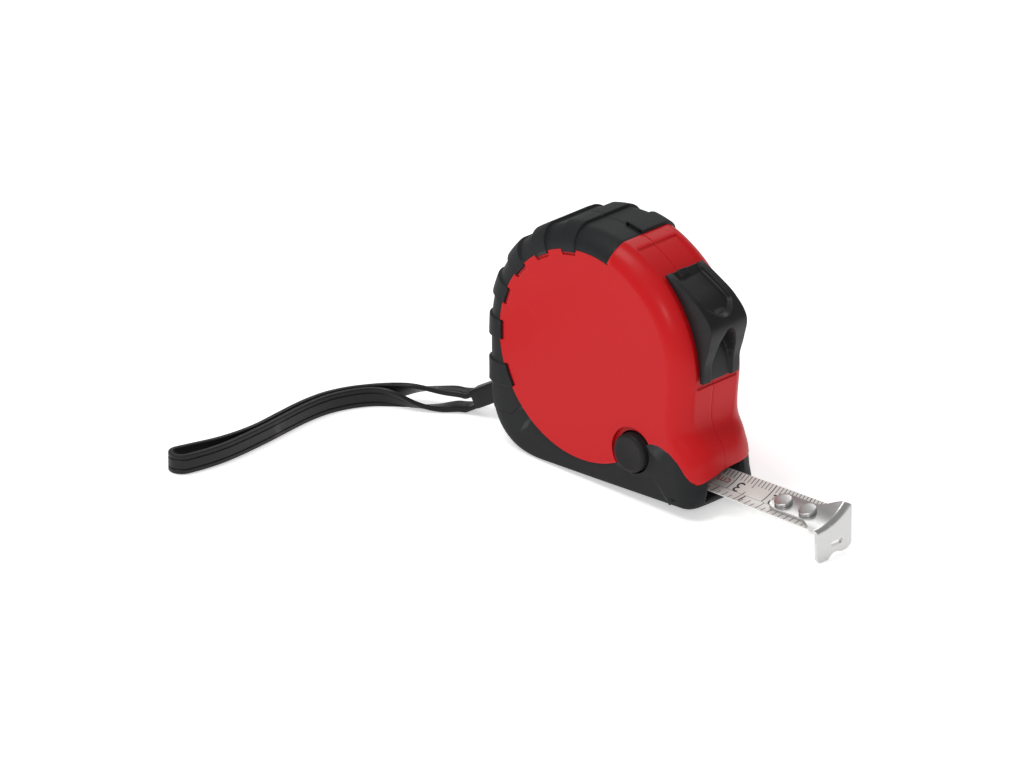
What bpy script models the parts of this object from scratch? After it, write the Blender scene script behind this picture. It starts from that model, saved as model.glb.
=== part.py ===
"""Pocket tape measure, 3 m, with a rubber grip, a thumb lock, a brake button and a wrist strap.

+X is the way the blade comes out, -Y the side with the brake button, +Z up.
The origin lies on the flat base, straight below the axis of the reel.
"""
import math

import bmesh
import bpy
from mathutils import Matrix, Vector

MM = 0.001
GAP = 0.3 * MM  # between pieces that touch

# Case
CASE_RADIUS = 28.7 * MM
CASE_THICKNESS = 22.0 * MM
BASE_CUT = 0.8 * MM  # the flat base cuts this much off the circle
AXIS_HEIGHT = CASE_RADIUS - BASE_CUT
EDGE_WIDTH = 4.4 * MM  # from the flat side to the full outline
EDGE_DEPTH = 4.5 * MM  # the same edge, measured across the case
BASE_EDGE = 1.2 * MM  # the edge is this wide along the base
RUBBER = 1.0 * MM
WALL = 1.5 * MM
SEAM_Y = -1.0 * MM
CORNER_HEIGHT = 16.0 * MM  # the back corner starts to turn at this height
CORNER_REACH = 17.7 * MM
CORNER_POWER = 2.5
FRONT_ANGLE = -8.0
# height, then the full outline and the flat side's outline past the case radius, then the edge's depth
NOSE = (
    (1.5 * MM, 3.2 * MM, -3.3 * MM, 8.0 * MM),
    (7.0 * MM, 3.2 * MM, -3.3 * MM, 8.2 * MM),
    (10.5 * MM, 3.3 * MM, -3.5 * MM, 8.3 * MM),
    (13.4 * MM, 2.3 * MM, -4.1 * MM, 7.6 * MM),
    (16.2 * MM, 0.1 * MM, -4.8 * MM, 6.0 * MM),
    (19.5 * MM, -0.6 * MM, -5.1 * MM, 4.7 * MM),
)
# Grip and base
GRIP_START = 73.3
GRIP_END = 215.2
RIB_STEP = 20.0
RIB_FIRST = 100.0
RIB_COUNT = 6
RIB_ANGLE = 9.0
RIB_HEIGHT = 0.9 * MM
FAR_END_RIB = 78.5
ZONE_LIP = 0.3 * MM  # the rubber starts this far inside the flat side
BOOT_TURN = -68.0  # the boot's edge leaves the disc here, under the button
BOOT_TURN_FAR = -54.0  # and here on the side without one
# The boot's edge in front of the button, from the case radius and the base
BOOT_EDGE = (
    (-8.5 * MM, 13.1 * MM),
    (-4.5 * MM, 12.6 * MM),
    (-1.8 * MM, 10.5 * MM),
    (-0.5 * MM, 7.9 * MM),
    (0.6 * MM, 6.6 * MM),
    (1.9 * MM, 5.8 * MM),
)
# Blade and mouth
BLADE_CHORD = 8.7 * MM
BLADE_SAG = 0.7 * MM
BLADE_SHEET = 0.25 * MM
BLADE_ROLL = 16.0
BLADE_HEIGHT = 4.0 * MM  # of the chord's middle
BLADE_REAR = 14.0 * MM
BLADE_FRONT = 61.0 * MM
MOUTH_WIDTH = 10.6 * MM
MOUTH_TOP = 7.6 * MM
MOUTH_FLOOR = 1.3 * MM
CHANNEL_REAR = -17.5 * MM
# Hook
HOOK_SHEET = 0.9 * MM
HOOK_WIDTH = 11.8 * MM
TONGUE_WIDTH = 5.4 * MM
TONGUE_REAR = 45.0 * MM
TONGUE_FLARE = 54.5 * MM
HOOK_DROP = 7.4 * MM
HOOK_PLAY = 0.8 * MM
CLAW_NOTCH = 1.6 * MM
TONGUE_SHOULDER = 0.72  # shares of half the hook's width and of the mouth's width, where the tongue flares
TONGUE_FRONT = 0.47
TONGUE_BEND = 0.48
HOOK_SLOT = (3.2 * MM, 0.9 * MM)
RIVETS = (("rivet_rear", 48.3 * MM), ("rivet_front", 55.2 * MM))
RIVET_SHANK = 1.0 * MM
RIVET_HEAD = 2.2 * MM
RIVET_RISE = 1.1 * MM
# Reel
POST_RADIUS = 2.6 * MM
DRUM_RADIUS = 13.0 * MM
DRUM_WALL = 0.9 * MM
COIL_RADIUS = 17.5 * MM
FLANGE_RADIUS = 18.3 * MM
FLANGE_SHEET = 0.5 * MM
COIL_WIDTH = 9.0 * MM
SPRING_TURNS = 5
SPRING_SHEET = 0.45 * MM
# Thumb lock
LOCK_WIDTH = 11.7 * MM
# angle about the reel's axis, and height over the case
LOCK_PROFILE = (
    (0.0, 1.2 * MM),
    (8.0, 1.8 * MM),
    (15.0, 3.8 * MM),
    (22.0, 5.9 * MM),
    (30.0, 5.0 * MM),
    (40.0, 2.7 * MM),
    (49.4, 0.9 * MM),
)
LOCK_TRAVEL = 15.0
STEM_START = 19.0
STEM_END = 31.0
STEM_WIDTH = 4.0 * MM
SHOE_SHEET = 1.2 * MM
SHOE_END = -50.0
SHOE_FOOT = 2.0 * MM
# Brake button
BUTTON_X = 15.0 * MM
BUTTON_Z = 10.5 * MM
BUTTON_RADIUS = 4.7 * MM
BUTTON_WELL = 0.5 * MM  # room round the button
BUTTON_RISE = 1.6 * MM
BUTTON_STEM = 1.5 * MM
BUTTON_EDGE = 0.8 * MM  # the slope round the button's face
BUTTON_COLLAR = 0.6 * MM  # the sheet that keeps the button in
PAD_SHEET = 0.4 * MM
BUTTON_SPRING_LENGTH = 3.0 * MM
BUTTON_SPRING_WIRE = 0.18 * MM
# Screws
SCREW_ANGLES = (80.0, 160.0, 232.0)
SCREW_FROM_EDGE = 2.3 * MM  # from the screw's axis to the edge of the flat side
SCREW_SHANK = 0.85 * MM
SCREW_HEAD = 1.8 * MM
SCREW_SINK = 1.4 * MM
SCREW_LENGTH = 15.5 * MM
BOSS_RADIUS = 2.1 * MM
# Strap
STRAP_WIDTH = 4.4 * MM
STRAP_SHEET = 1.1 * MM
TAB_SIZE = 4.4 * MM
TAB_TURN = 211.2  # where the tab leaves the back, about the reel's axis
# Routes in millimetres, from the point where the tab leaves the case
TAB_ROUTE = ((5.3, 0.0, 3.2), (0.0, 0.0, 0.0), (-5.2, -0.3, -3.0), (-10.4, -1.4, -5.9))
STRAP_ROUTE = (
    (-12.2, -2.1, -6.8),
    (-14.1, -3.5, -6.6),
    (-17.0, -5.8, -6.7),
    (-20.9, -8.5, -6.5),
    (-24.1, -10.9, -6.3),
    (-27.2, -13.8, -6.1),
    (-29.7, -17.4, -6.0),
    (-31.5, -21.7, -5.9),
    (-32.5, -26.8, -5.8),
    (-32.6, -33.2, -5.8),
    (-31.9, -40.3, -5.8),
    (-31.1, -47.6, -5.8),
    (-30.9, -54.2, -5.8),
    (-31.3, -60.3, -5.8),
    (-32.3, -65.4, -5.8),
    (-33.5, -70.0, -5.8),
)
LEG_HALF_AT_TAB = 1.6 * MM
LEG_HALF_OPEN = 2.0 * MM
LEG_HALF_CLOSED = 0.8 * MM
LEG_HALF_LOOP = 2.4 * MM
# Shares of the way to the loop's end: the legs close up between the first two, have turned side by side at the
# second, and open again for the loop after the third
LEGS_CLOSE_FROM = 0.08
LEGS_CLOSED_AT = 0.3
LOOP_OPENS_FROM = 0.72
PIN_RADIUS = 0.7 * MM
PIN_FROM_END = 1.5 * MM

ROUND_STEPS = 24
SKIN = RUBBER + GAP
CENTRE = (0.0, AXIS_HEIGHT)
FLAT_RADIUS = CASE_RADIUS - EDGE_WIDTH
SCREW_CIRCLE = FLAT_RADIUS - SCREW_FROM_EDGE
HALF = CASE_THICKNESS / 2
FAR_AWAY = 3 * CASE_RADIUS
CAVITY = SKIN + WALL


# ---------- outlines, as (x, z) points ----------

def polar(degrees, radius):
    """The point at an angle and a distance from the reel's axis."""
    turn = math.radians(degrees)
    return (CENTRE[0] + radius * math.cos(turn), CENTRE[1] + radius * math.sin(turn))


def arc(radius, start, end, steps):
    """Points on a circle about the reel's axis."""
    return [polar(start + (end - start) * i / steps, radius) for i in range(steps + 1)]


def circle(centre, radius, steps=ROUND_STEPS, start=0.0, end=360.0):
    """Points on any circle; the last one is left out of a full turn."""
    full = abs(end - start) >= 360.0
    count = steps if full else steps + 1
    turns = [math.radians(start + (end - start) * i / steps) for i in range(count)]
    return [(centre[0] + radius * math.cos(t), centre[1] + radius * math.sin(t)) for t in turns]


def smooth(points, steps):
    """A smooth curve through the points, with a number of steps between neighbours."""
    knots = [Vector(p) for p in points]
    knots = [2 * knots[0] - knots[1]] + knots + [2 * knots[-1] - knots[-2]]
    out = []
    for a, b, c, d in zip(knots, knots[1:], knots[2:], knots[3:]):
        for i in range(steps):
            t = i / steps
            out.append(0.5 * (2 * b + (c - a) * t + (2 * a - 5 * b + 4 * c - d) * t * t
                              + (3 * b - a - 3 * c + d) * t ** 3))
    return [tuple(p) for p in out] + [tuple(knots[-2])]


def back_corner(back, foot, power, steps):
    """The rounded back corner, from its upper end down to the base."""
    reach = foot[0] - back[0]
    drop = back[1] - foot[1]
    out = []
    for i in range(steps + 1):
        turn = math.pi / 2 * i / steps
        out.append((foot[0] - reach * math.cos(turn) ** (2 / power),
                    back[1] - drop * math.sin(turn) ** (2 / power)))
    return out


def outlines():
    """The full outline, the flat side's outline and the edge's depth, point for point."""
    full = arc(CASE_RADIUS, FRONT_ANGLE, 180.0, 22)
    flat = arc(FLAT_RADIUS, FRONT_ANGLE, 180.0, 22)
    foot = -CASE_RADIUS + CORNER_REACH
    full += back_corner((-CASE_RADIUS, CORNER_HEIGHT), (foot, 0.0), CORNER_POWER, 8)
    flat_back = -math.sqrt(FLAT_RADIUS ** 2 - (AXIS_HEIGHT - CORNER_HEIGHT) ** 2)
    flat += back_corner((flat_back, CORNER_HEIGHT), (foot, BASE_EDGE), CORNER_POWER, 8)
    depth = [EDGE_DEPTH] * len(full)
    nose_full = [(CASE_RADIUS + past, height) for height, past, _, _ in NOSE]
    nose_flat = [(CASE_RADIUS + past, height) for height, _, past, _ in NOSE]
    nose_depth = [(how_deep, 0.0) for _, _, _, how_deep in NOSE]
    nose_flat[0] = (nose_flat[0][0], BASE_EDGE + (NOSE[0][0] - BASE_EDGE) / 2)
    toe = NOSE[0][0]
    full += [(0.0, 0.0), (nose_full[0][0] - toe, 0.0)]
    flat += [(0.0, BASE_EDGE), (nose_flat[0][0] - toe, BASE_EDGE)]
    depth += [EDGE_DEPTH, nose_depth[0][0]]
    full += smooth(nose_full + [full[0]], 3)[:-1]
    flat += smooth(nose_flat + [flat[0]], 3)[:-1]
    depth += [d for d, _ in smooth(nose_depth + [(EDGE_DEPTH, 0.0)], 3)[:-1]]
    return full, flat, depth


def pulled_in(point, inset):
    """A point moved towards the reel's axis."""
    offset = Vector(point) - Vector(CENTRE)
    return tuple(Vector(CENTRE) + offset * (1 - inset / offset.length))


def moved_left(line, distance):
    """A line of points, each moved to the left of the way that the line runs."""
    knots = [Vector(p) for p in line]
    out = []
    for i, knot in enumerate(knots):
        along = (knots[min(i + 1, len(knots) - 1)] - knots[max(i - 1, 0)]).normalized()
        out.append((knot.x - along.y * distance, knot.y + along.x * distance))
    return out


def rubber_zone(grow, start, with_button):
    """The outline of the rubber on a side of the case, from an angle round the back to the nose."""
    radius = FLAT_RADIUS - ZONE_LIP - grow
    turn = math.degrees(grow / radius)
    first = start - turn
    last = 360.0 + (BOOT_TURN if with_button else BOOT_TURN_FAR)
    points = arc(radius, first, last, 20)
    if with_button:
        points += circle((BUTTON_X, BUTTON_Z), BUTTON_RADIUS + BUTTON_WELL + RUBBER + grow, 10, 200.0, 55.0)
    edge = moved_left(smooth([(CASE_RADIUS + past, height) for past, height in BOOT_EDGE], 2), grow)
    points += edge + [(FAR_AWAY, edge[-1][1])]
    return points + arc(2 * FAR_AWAY, 340.0, first, 12)


# ---------- scene ----------

def start_scene():
    """An empty scene with one collection for the tape measure and one for the cutters."""
    for item in list(bpy.data.objects):
        bpy.data.objects.remove(item, do_unlink=True)
    made = []
    for name in ("tape_measure", "cutters"):
        old = bpy.data.collections.get(name)
        if old:
            bpy.data.collections.remove(old)
        group = bpy.data.collections.new(name)
        bpy.context.scene.collection.children.link(group)
        made.append(group)
    return made


PARTS, CUTTERS = start_scene()


def material(name, colour, roughness, metallic=0.0):
    """One Principled BSDF material."""
    made = bpy.data.materials.new(name)
    made.use_nodes = True
    shader = made.node_tree.nodes["Principled BSDF"]
    shader.inputs["Base Color"].default_value = (*colour, 1.0)
    shader.inputs["Roughness"].default_value = roughness
    shader.inputs["Metallic"].default_value = metallic
    return made


def red_plastic():
    return material("red_plastic", (0.55, 0.02, 0.02), 0.45)


def black_rubber():
    return material("black_rubber", (0.025, 0.025, 0.027), 0.7)


def black_plastic():
    return material("black_plastic", (0.02, 0.02, 0.022), 0.5)


def white_enamel():
    return material("white_enamel", (0.72, 0.7, 0.64), 0.35)


def bright_steel():
    return material("bright_steel", (0.6, 0.6, 0.6), 0.25, 1.0)


def spring_steel():
    return material("spring_steel", (0.3, 0.32, 0.36), 0.35, 1.0)


def white_plastic():
    return material("white_plastic", (0.75, 0.75, 0.73), 0.5)


RED = red_plastic()
RUBBER_FINISH = black_rubber()
BLACK = black_plastic()
ENAMEL = white_enamel()
STEEL = bright_steel()
SPRING = spring_steel()
WHITE = white_plastic()


PLANES = {
    "XZ": (Matrix.Rotation(math.pi / 2, 3, "X"), (0, 1, 0)),
    "XY": (Matrix.Identity(3), (0, 0, 1)),
    "YZ": (Matrix(((0, 0, 1), (1, 0, 0), (0, 1, 0))), (1, 0, 0)),
}
ALONG_Y = Matrix.Translation((0, 0, AXIS_HEIGHT)) @ Matrix.Rotation(-math.pi / 2, 4, "X")
ON_BLADE = Matrix.Translation((0, 0, BLADE_HEIGHT)) @ Matrix.Rotation(math.radians(BLADE_ROLL), 4, "X")


def add_object(name, mesh, finish):
    """An object of the tape measure with its material, or a cutter when it has none."""
    made = bpy.data.objects.new(name, mesh)
    (PARTS if finish else CUTTERS).objects.link(made)
    if finish:
        mesh.materials.append(finish)
    else:
        made.hide_render = True
        made.display_type = "WIRE"
    return made


def finish_mesh(name, shape, finish, sharp=35.0):
    """A bmesh made into an object, with its faces out and its round stretches smooth."""
    bmesh.ops.remove_doubles(shape, verts=shape.verts, dist=1e-7)
    bmesh.ops.recalc_face_normals(shape, faces=shape.faces)
    mesh = bpy.data.meshes.new(name)
    shape.to_mesh(mesh)
    shape.free()
    mesh.shade_smooth()
    mesh.set_sharp_from_angle(angle=math.radians(sharp))
    return add_object(name, mesh, finish)


def plate(name, outline, low, high, finish=None, plane="XZ", place=None):
    """A flat outline in one of the three planes, given its thickness across that plane."""
    drawing = bpy.data.curves.new(name, "CURVE")
    drawing.dimensions = "2D"
    drawing.fill_mode = "BOTH"
    drawing.extrude = (high - low) / 2
    line = drawing.splines.new("POLY")
    line.points.add(len(outline) - 1)
    for knot, (x, z) in zip(line.points, outline):
        knot.co = (x, z, 0.0, 1.0)
    line.use_cyclic_u = True
    guide = bpy.data.objects.new(name, drawing)
    CUTTERS.objects.link(guide)
    bpy.context.view_layer.update()
    flat = bpy.data.meshes.new_from_object(guide.evaluated_get(bpy.context.evaluated_depsgraph_get()))
    bpy.data.objects.remove(guide)
    bpy.data.curves.remove(drawing)
    shape = bmesh.new()
    shape.from_mesh(flat)
    bpy.data.meshes.remove(flat)
    turn, across = PLANES[plane]
    bmesh.ops.rotate(shape, verts=shape.verts, cent=(0, 0, 0), matrix=turn)
    bmesh.ops.translate(shape, verts=shape.verts, vec=Vector(across) * (low + high) / 2)
    if place:
        bmesh.ops.transform(shape, verts=shape.verts, matrix=place)
    return finish_mesh(name, shape, finish)


def box(name, low, high, finish=None):
    """A box between two corners."""
    shape = bmesh.new()
    bmesh.ops.create_cube(shape, size=1.0)
    size = [h - l for l, h in zip(low, high)]
    middle = [(h + l) / 2 for l, h in zip(low, high)]
    bmesh.ops.scale(shape, verts=shape.verts, vec=size)
    bmesh.ops.translate(shape, verts=shape.verts, vec=middle)
    return finish_mesh(name, shape, finish)


def rod(name, centre, radius, low, high, finish=None, steps=ROUND_STEPS):
    """A round bar along Y, centred at (x, z)."""
    shape = bmesh.new()
    bmesh.ops.create_cone(shape, cap_ends=True, segments=steps, radius1=radius, radius2=radius,
                          depth=high - low)
    bmesh.ops.rotate(shape, verts=shape.verts, cent=(0, 0, 0), matrix=Matrix.Rotation(math.pi / 2, 3, "X"))
    bmesh.ops.translate(shape, verts=shape.verts, vec=(centre[0], (low + high) / 2, centre[1]))
    return finish_mesh(name, shape, finish)


def turned(name, profile, place, finish, steps=ROUND_STEPS):
    """A turned shape: a closed profile of (radius, height) points, put in place by a matrix."""
    shape = bmesh.new()
    corners = [shape.verts.new((radius, 0.0, height)) for radius, height in profile]
    on_axis = [r == 0.0 for r, _ in profile]
    for i, corner in enumerate(corners):
        following = (i + 1) % len(corners)
        if not (on_axis[i] and on_axis[following]):
            shape.edges.new((corner, corners[following]))
    bmesh.ops.spin(shape, geom=list(shape.verts) + list(shape.edges), cent=(0, 0, 0), axis=(0, 0, 1),
                   angle=2 * math.pi, steps=steps, use_merge=True)
    bmesh.ops.transform(shape, verts=shape.verts, matrix=place)
    return finish_mesh(name, shape, finish)


def combine(target, tool, how):
    """A Boolean modifier; a tool that was an object of the tape measure becomes a cutter."""
    step = target.modifiers.new(tool.name, "BOOLEAN")
    step.operation = how
    step.solver = "EXACT"
    step.object = tool
    return target


def cut(target, *tools):
    for tool in tools:
        combine(target, tool, "DIFFERENCE")
    return target


def keep(target, tool):
    return combine(target, tool, "INTERSECT")


def join(target, *tools):
    for tool in tools:
        combine(target, tool, "UNION")
    return target


# ---------- case ----------

def bridge(shape, rings):
    """Closes a row of rings with quads, and its two ends with flat faces."""
    for first, second in zip(rings, rings[1:]):
        for i in range(len(first)):
            j = (i + 1) % len(first)
            shape.faces.new((first[i], first[j], second[j], second[i]))
    shape.faces.new(rings[0])
    shape.faces.new(rings[-1])


def case_body(name, inset, finish=None):
    """The whole case as one body, with all its faces moved in by inset."""
    full, flat, depths = outlines()
    full = [pulled_in(p, inset) for p in full]
    flat = [pulled_in(p, inset) for p in flat]
    half = HALF - inset
    shape = bmesh.new()
    rings = []
    turns = [math.pi / 2 * i / 3 for i in range(4)]
    for side in (-1, 1):
        for turn in turns if side < 0 else turns[::-1]:
            share = math.sin(turn)
            ring = []
            for outer, inner, depth in zip(full, flat, depths):
                x = inner[0] + (outer[0] - inner[0]) * share
                z = inner[1] + (outer[1] - inner[1]) * share
                y = side * (half - depth * (1 - math.cos(turn)))
                ring.append(shape.verts.new((x, y, z)))
            rings.append(ring)
    bridge(shape, rings)
    return finish_mesh(name, shape, finish)


def reach_at(angle):
    """How far the full outline is from the reel's axis, at an angle."""
    ray = Vector((math.cos(math.radians(angle)), math.sin(math.radians(angle))))
    points = [Vector(p) - Vector(CENTRE) for p in outlines()[0]]
    reach = 0.0
    for first, second in zip(points, points[1:] + points[:1]):
        before = ray.x * first.y - ray.y * first.x
        after = ray.x * second.y - ray.y * second.x
        if (before > 0) != (after > 0):
            hit = first.lerp(second, before / (before - after))
            reach = max(reach, hit.dot(ray))
    return reach


def grip_section(angle, rise, side, seam):
    """One ring of the grip's channel, from the disc's edge over the case to the seam and back inside."""
    start = FLAT_RADIUS - ZONE_LIP + GAP
    reach = reach_at(angle)
    over = [(start, HALF)]
    under = [(start, HALF - RUBBER)]
    for i in range(4):
        turn = math.pi / 2 * i / 3
        share = math.sin(turn)
        across = HALF - EDGE_DEPTH * (1 - math.cos(turn))
        radius = FLAT_RADIUS + (reach - FLAT_RADIUS) * share
        over.append((radius + rise * share, across))
        inside = FLAT_RADIUS - RUBBER * (1 - share)
        under.append((inside + (reach - RUBBER - inside) * share, across - RUBBER))
    over.append((reach + rise, side * seam))
    under.append((reach - RUBBER, side * seam))
    ring = over + under[:1:-1] + under[:1]
    return [(polar(angle, radius), side * across) for radius, across in ring]


def grip(name, ribs, side):
    """Half of the ribbed rubber over the back and top."""
    seam = SEAM_Y + side * GAP / 2
    edge = math.degrees(GAP / CASE_RADIUS)
    first = GRIP_START + edge
    last = GRIP_END - edge / 2
    ramp = 0.8
    half = RIB_ANGLE / 2
    marks = {first: 0.0, last: 0.0}
    for middle in ribs:
        for where, rise in ((-half - ramp, 0), (-half, 1), (0, 1), (half, 1), (half + ramp, 0)):
            if first < middle + where < last:
                marks[middle + where] = rise * RIB_HEIGHT
    if min(ribs) - half <= first:
        marks[first] = RIB_HEIGHT
    angles = sorted(marks)
    for low, high in zip(angles, angles[1:]):
        if high - low > 7.0:
            marks[(low + high) / 2] = (marks[low] + marks[high]) / 2
    shape = bmesh.new()
    rings = []
    for angle in sorted(marks):
        section = grip_section(angle, marks[angle], side, seam)
        rings.append([shape.verts.new((spot[0], across, spot[1])) for spot, across in section])
    bridge(shape, rings)
    return finish_mesh(name, shape, RUBBER_FINISH, 25.0)


def half_space(name, keep_near):
    """A block that takes away what lies past the seam."""
    if keep_near:
        return box(name, (-FAR_AWAY, SEAM_Y - GAP / 2, -FAR_AWAY), (FAR_AWAY, FAR_AWAY, FAR_AWAY))
    return box(name, (-FAR_AWAY, -FAR_AWAY, -FAR_AWAY), (FAR_AWAY, SEAM_Y + GAP / 2, FAR_AWAY))


def wedge(start, end, low, high, steps=8):
    """A stretch of a ring about the reel's axis."""
    return arc(low, start, end, steps) + arc(high, end, start, steps)


def swept(name, route, frame, section, finish):
    """A solid that follows a route; frame gives the section's two directions at each point."""
    shape = bmesh.new()
    rings = []
    for i, point in enumerate(route):
        across, up = frame(i)
        rings.append([shape.verts.new(point + across * a + up * b) for a, b in section])
    bridge(shape, rings)
    return finish_mesh(name, shape, finish)


def tangent(route, i):
    """The direction of a route at one of its points."""
    ahead = route[min(i + 1, len(route) - 1)]
    behind = route[max(i - 1, 0)]
    return (ahead - behind).normalized()


def rectangle(width, height):
    return [(-width / 2, -height / 2), (width / 2, -height / 2), (width / 2, height / 2), (-width / 2, height / 2)]


def placed(route, steps):
    """A route's smooth curve, moved to where the tab leaves the case."""
    x, z = polar(TAB_TURN, reach_at(TAB_TURN))
    return [Vector((x, SEAM_Y, z)) + Vector(p) * MM for p in smooth(route, steps)]


def tab_solid(name, grow, finish):
    """The strap's square tab, or the hole for it."""
    route = placed(TAB_ROUTE, 2)

    def frame(i):
        along = tangent(route, i)
        side = Vector((0, 0, 1)).cross(along).normalized()
        return side, along.cross(side)

    size = TAB_SIZE + 2 * grow
    return swept(name, route, frame, rectangle(size, size), finish)


def leg_spread(share):
    """Half the distance between the strap's legs, at a share of the way from the tab to the loop's end."""
    if share < LEGS_CLOSE_FROM:
        return LEG_HALF_AT_TAB + (LEG_HALF_OPEN - LEG_HALF_AT_TAB) * share / LEGS_CLOSE_FROM
    if share < LEGS_CLOSED_AT:
        blend = (1 + math.cos(math.pi * (share - LEGS_CLOSE_FROM) / (LEGS_CLOSED_AT - LEGS_CLOSE_FROM))) / 2
        return LEG_HALF_CLOSED + (LEG_HALF_OPEN - LEG_HALF_CLOSED) * blend
    if share < LOOP_OPENS_FROM:
        return LEG_HALF_CLOSED
    blend = (1 - math.cos(math.pi * (share - LOOP_OPENS_FROM) / (1 - LOOP_OPENS_FROM))) / 2
    return LEG_HALF_CLOSED + (LEG_HALF_LOOP - LEG_HALF_CLOSED) * blend


def strap():
    """The strap: a flat ribbon out to the loop's end and back, its legs first one over the other, then side by side."""
    middle = placed(STRAP_ROUTE, 3)
    last = len(middle) - 1
    out_leg = []
    back_leg = []
    for i, point in enumerate(middle):
        share = i / last
        along = tangent(middle, i)
        side = along.cross(Vector((0, 0, 1))).normalized()
        lean = math.pi / 2 * min(1.0, share / LEGS_CLOSED_AT)
        lean = math.pi / 2 * (1 - math.cos(2 * lean)) / 2
        apart = Vector((0, 0, 1)) * math.cos(lean) + side * math.sin(lean)
        out_leg.append((point + apart * leg_spread(share), along, apart))
        back_leg.append((point - apart * leg_spread(share), -along, -apart))
    end, along, apart = middle[-1], tangent(middle, last), out_leg[-1][2]
    bend = []
    for i in range(1, 8):
        turn = math.pi * i / 8
        outward = apart * math.cos(turn) + along * math.sin(turn)
        forward = along * math.cos(turn) - apart * math.sin(turn)
        bend.append((end + outward * LEG_HALF_LOOP, forward, outward))
    stations = out_leg + bend + back_leg[::-1]
    route = [point for point, _, _ in stations]

    def frame(i):
        _, forward, outward = stations[i]
        return forward.cross(outward).normalized(), outward

    return swept("strap", route, frame, rectangle(STRAP_WIDTH, STRAP_SHEET), RUBBER_FINISH)


# ---------- shared cutters ----------

def shell_openings():
    """What both case halves make room for."""
    openings = [
        box("blade_way", (CHANNEL_REAR, -MOUTH_WIDTH / 2, -FAR_AWAY), (FAR_AWAY, MOUTH_WIDTH / 2, MOUTH_TOP)),
        plate("lock_slot", wedge(STEM_START - 1.0, STEM_END + LOCK_TRAVEL + 1.0, CASE_RADIUS - 2 * CAVITY,
                                 CASE_RADIUS + CAVITY), -STEM_WIDTH / 2 - GAP, STEM_WIDTH / 2 + GAP),
        tab_solid("tab_hole", GAP, None),
    ]
    for i, angle in enumerate(SCREW_ANGLES):
        spot = polar(angle, SCREW_CIRCLE)
        openings.append(rod(f"screw_hole_{i + 1}", spot, SCREW_SHANK + GAP, HALF - SCREW_LENGTH - 3 * GAP, 2 * HALF,
                            steps=12))
        openings.append(rod(f"screw_sink_{i + 1}", spot, SCREW_HEAD + GAP, HALF - SCREW_SINK, 2 * HALF, steps=16))
    return openings


def shell(name, near, openings):
    """One half of the case."""
    body = case_body(name, 0.0, RED)
    cut(body, plate(name + "_rubber_seat", rubber_zone(0.0, GRIP_START, near), -FAR_AWAY, FAR_AWAY))
    join(body, case_body(name + "_core", SKIN))
    cut(body, case_body(name + "_cavity", CAVITY))
    for i, angle in enumerate(SCREW_ANGLES):
        boss = rod(f"{name}_boss_{i + 1}", polar(angle, SCREW_CIRCLE), BOSS_RADIUS, -HALF + SKIN + GAP,
                   HALF - SKIN - GAP, steps=12)
        join(body, boss)
    if near:
        cut(body, rod("button_hole", (BUTTON_X, BUTTON_Z), BUTTON_RADIUS + BUTTON_WELL, -FAR_AWAY, 0.0))
    else:
        seat = rod("spring_seat", (BUTTON_X, BUTTON_Z), BUTTON_STEM - GAP, SPRING_FAR + GAP, HALF - SKIN - GAP,
                   steps=12)
        join(body, seat)
    cut(body, half_space(name + "_seam", near))
    return cut(body, *openings)


def boot(name, near, mouth, tab_hole):
    """One half of the black base that wraps the bottom, the lower back and the mouth."""
    body = case_body(name, 0.0, RUBBER_FINISH)
    keep(body, plate(name + "_zone", rubber_zone(-GAP, GRIP_END, near), -FAR_AWAY, FAR_AWAY))
    cut(body, case_body(name + "_core", RUBBER))
    cut(body, half_space(name + "_seam", near), mouth, tab_hole)
    if near:
        cut(body, rod("boot_button_hole", (BUTTON_X, BUTTON_Z), BUTTON_RADIUS + BUTTON_WELL, -FAR_AWAY, 0.0))
    return body


def case():
    openings = shell_openings()
    shell("near_shell", True, openings)
    shell("far_shell", False, openings)
    mouth = box("mouth", (CASE_RADIUS - EDGE_WIDTH, -MOUTH_WIDTH / 2, MOUTH_FLOOR),
                (FAR_AWAY, MOUTH_WIDTH / 2, MOUTH_TOP))
    tab_hole = openings[2]
    boot("near_base", True, mouth, tab_hole)
    boot("far_base", False, mouth, tab_hole)
    ribs = [RIB_FIRST + RIB_STEP * i for i in range(RIB_COUNT)]
    cut(grip("near_grip", ribs, -1), tab_hole)
    cut(grip("far_grip", [FAR_END_RIB] + ribs, 1), tab_hole)


# ---------- screws, strap ----------

def screws():
    """The screws that hold the halves together, put in from the far side."""
    top = HALF - SCREW_SINK + GAP + 1.0 * MM
    bottom = HALF - SCREW_LENGTH
    profile = [
        (0.0, bottom),
        (SCREW_SHANK, bottom + SCREW_SHANK),
        (SCREW_SHANK, top - 1.0 * MM),
        (SCREW_HEAD, top - 1.0 * MM),
        (SCREW_HEAD, top - 0.3 * MM),
        (0.7 * SCREW_HEAD, top),
        (0.0, top),
    ]
    for i, angle in enumerate(SCREW_ANGLES):
        x, z = polar(angle, SCREW_CIRCLE)
        place = Matrix.Translation((x, 0, z)) @ Matrix.Rotation(-math.pi / 2, 4, "X")
        turned(f"case_screw_{i + 1}", profile, place, STEEL, 14)


def strap_parts():
    tab = tab_solid("strap_tab", 0.0, RUBBER_FINISH)
    route = placed(TAB_ROUTE, 2)
    x, y, z = route[0] + tangent(route, 0) * PIN_FROM_END
    cut(tab, rod("pin_hole", (x, z), PIN_RADIUS + GAP, y - TAB_SIZE, y + TAB_SIZE, steps=10))
    rod("strap_pin", (x, z), PIN_RADIUS, y - TAB_SIZE, y + TAB_SIZE, STEEL, 10)
    strap()


# ---------- reel ----------

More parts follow.
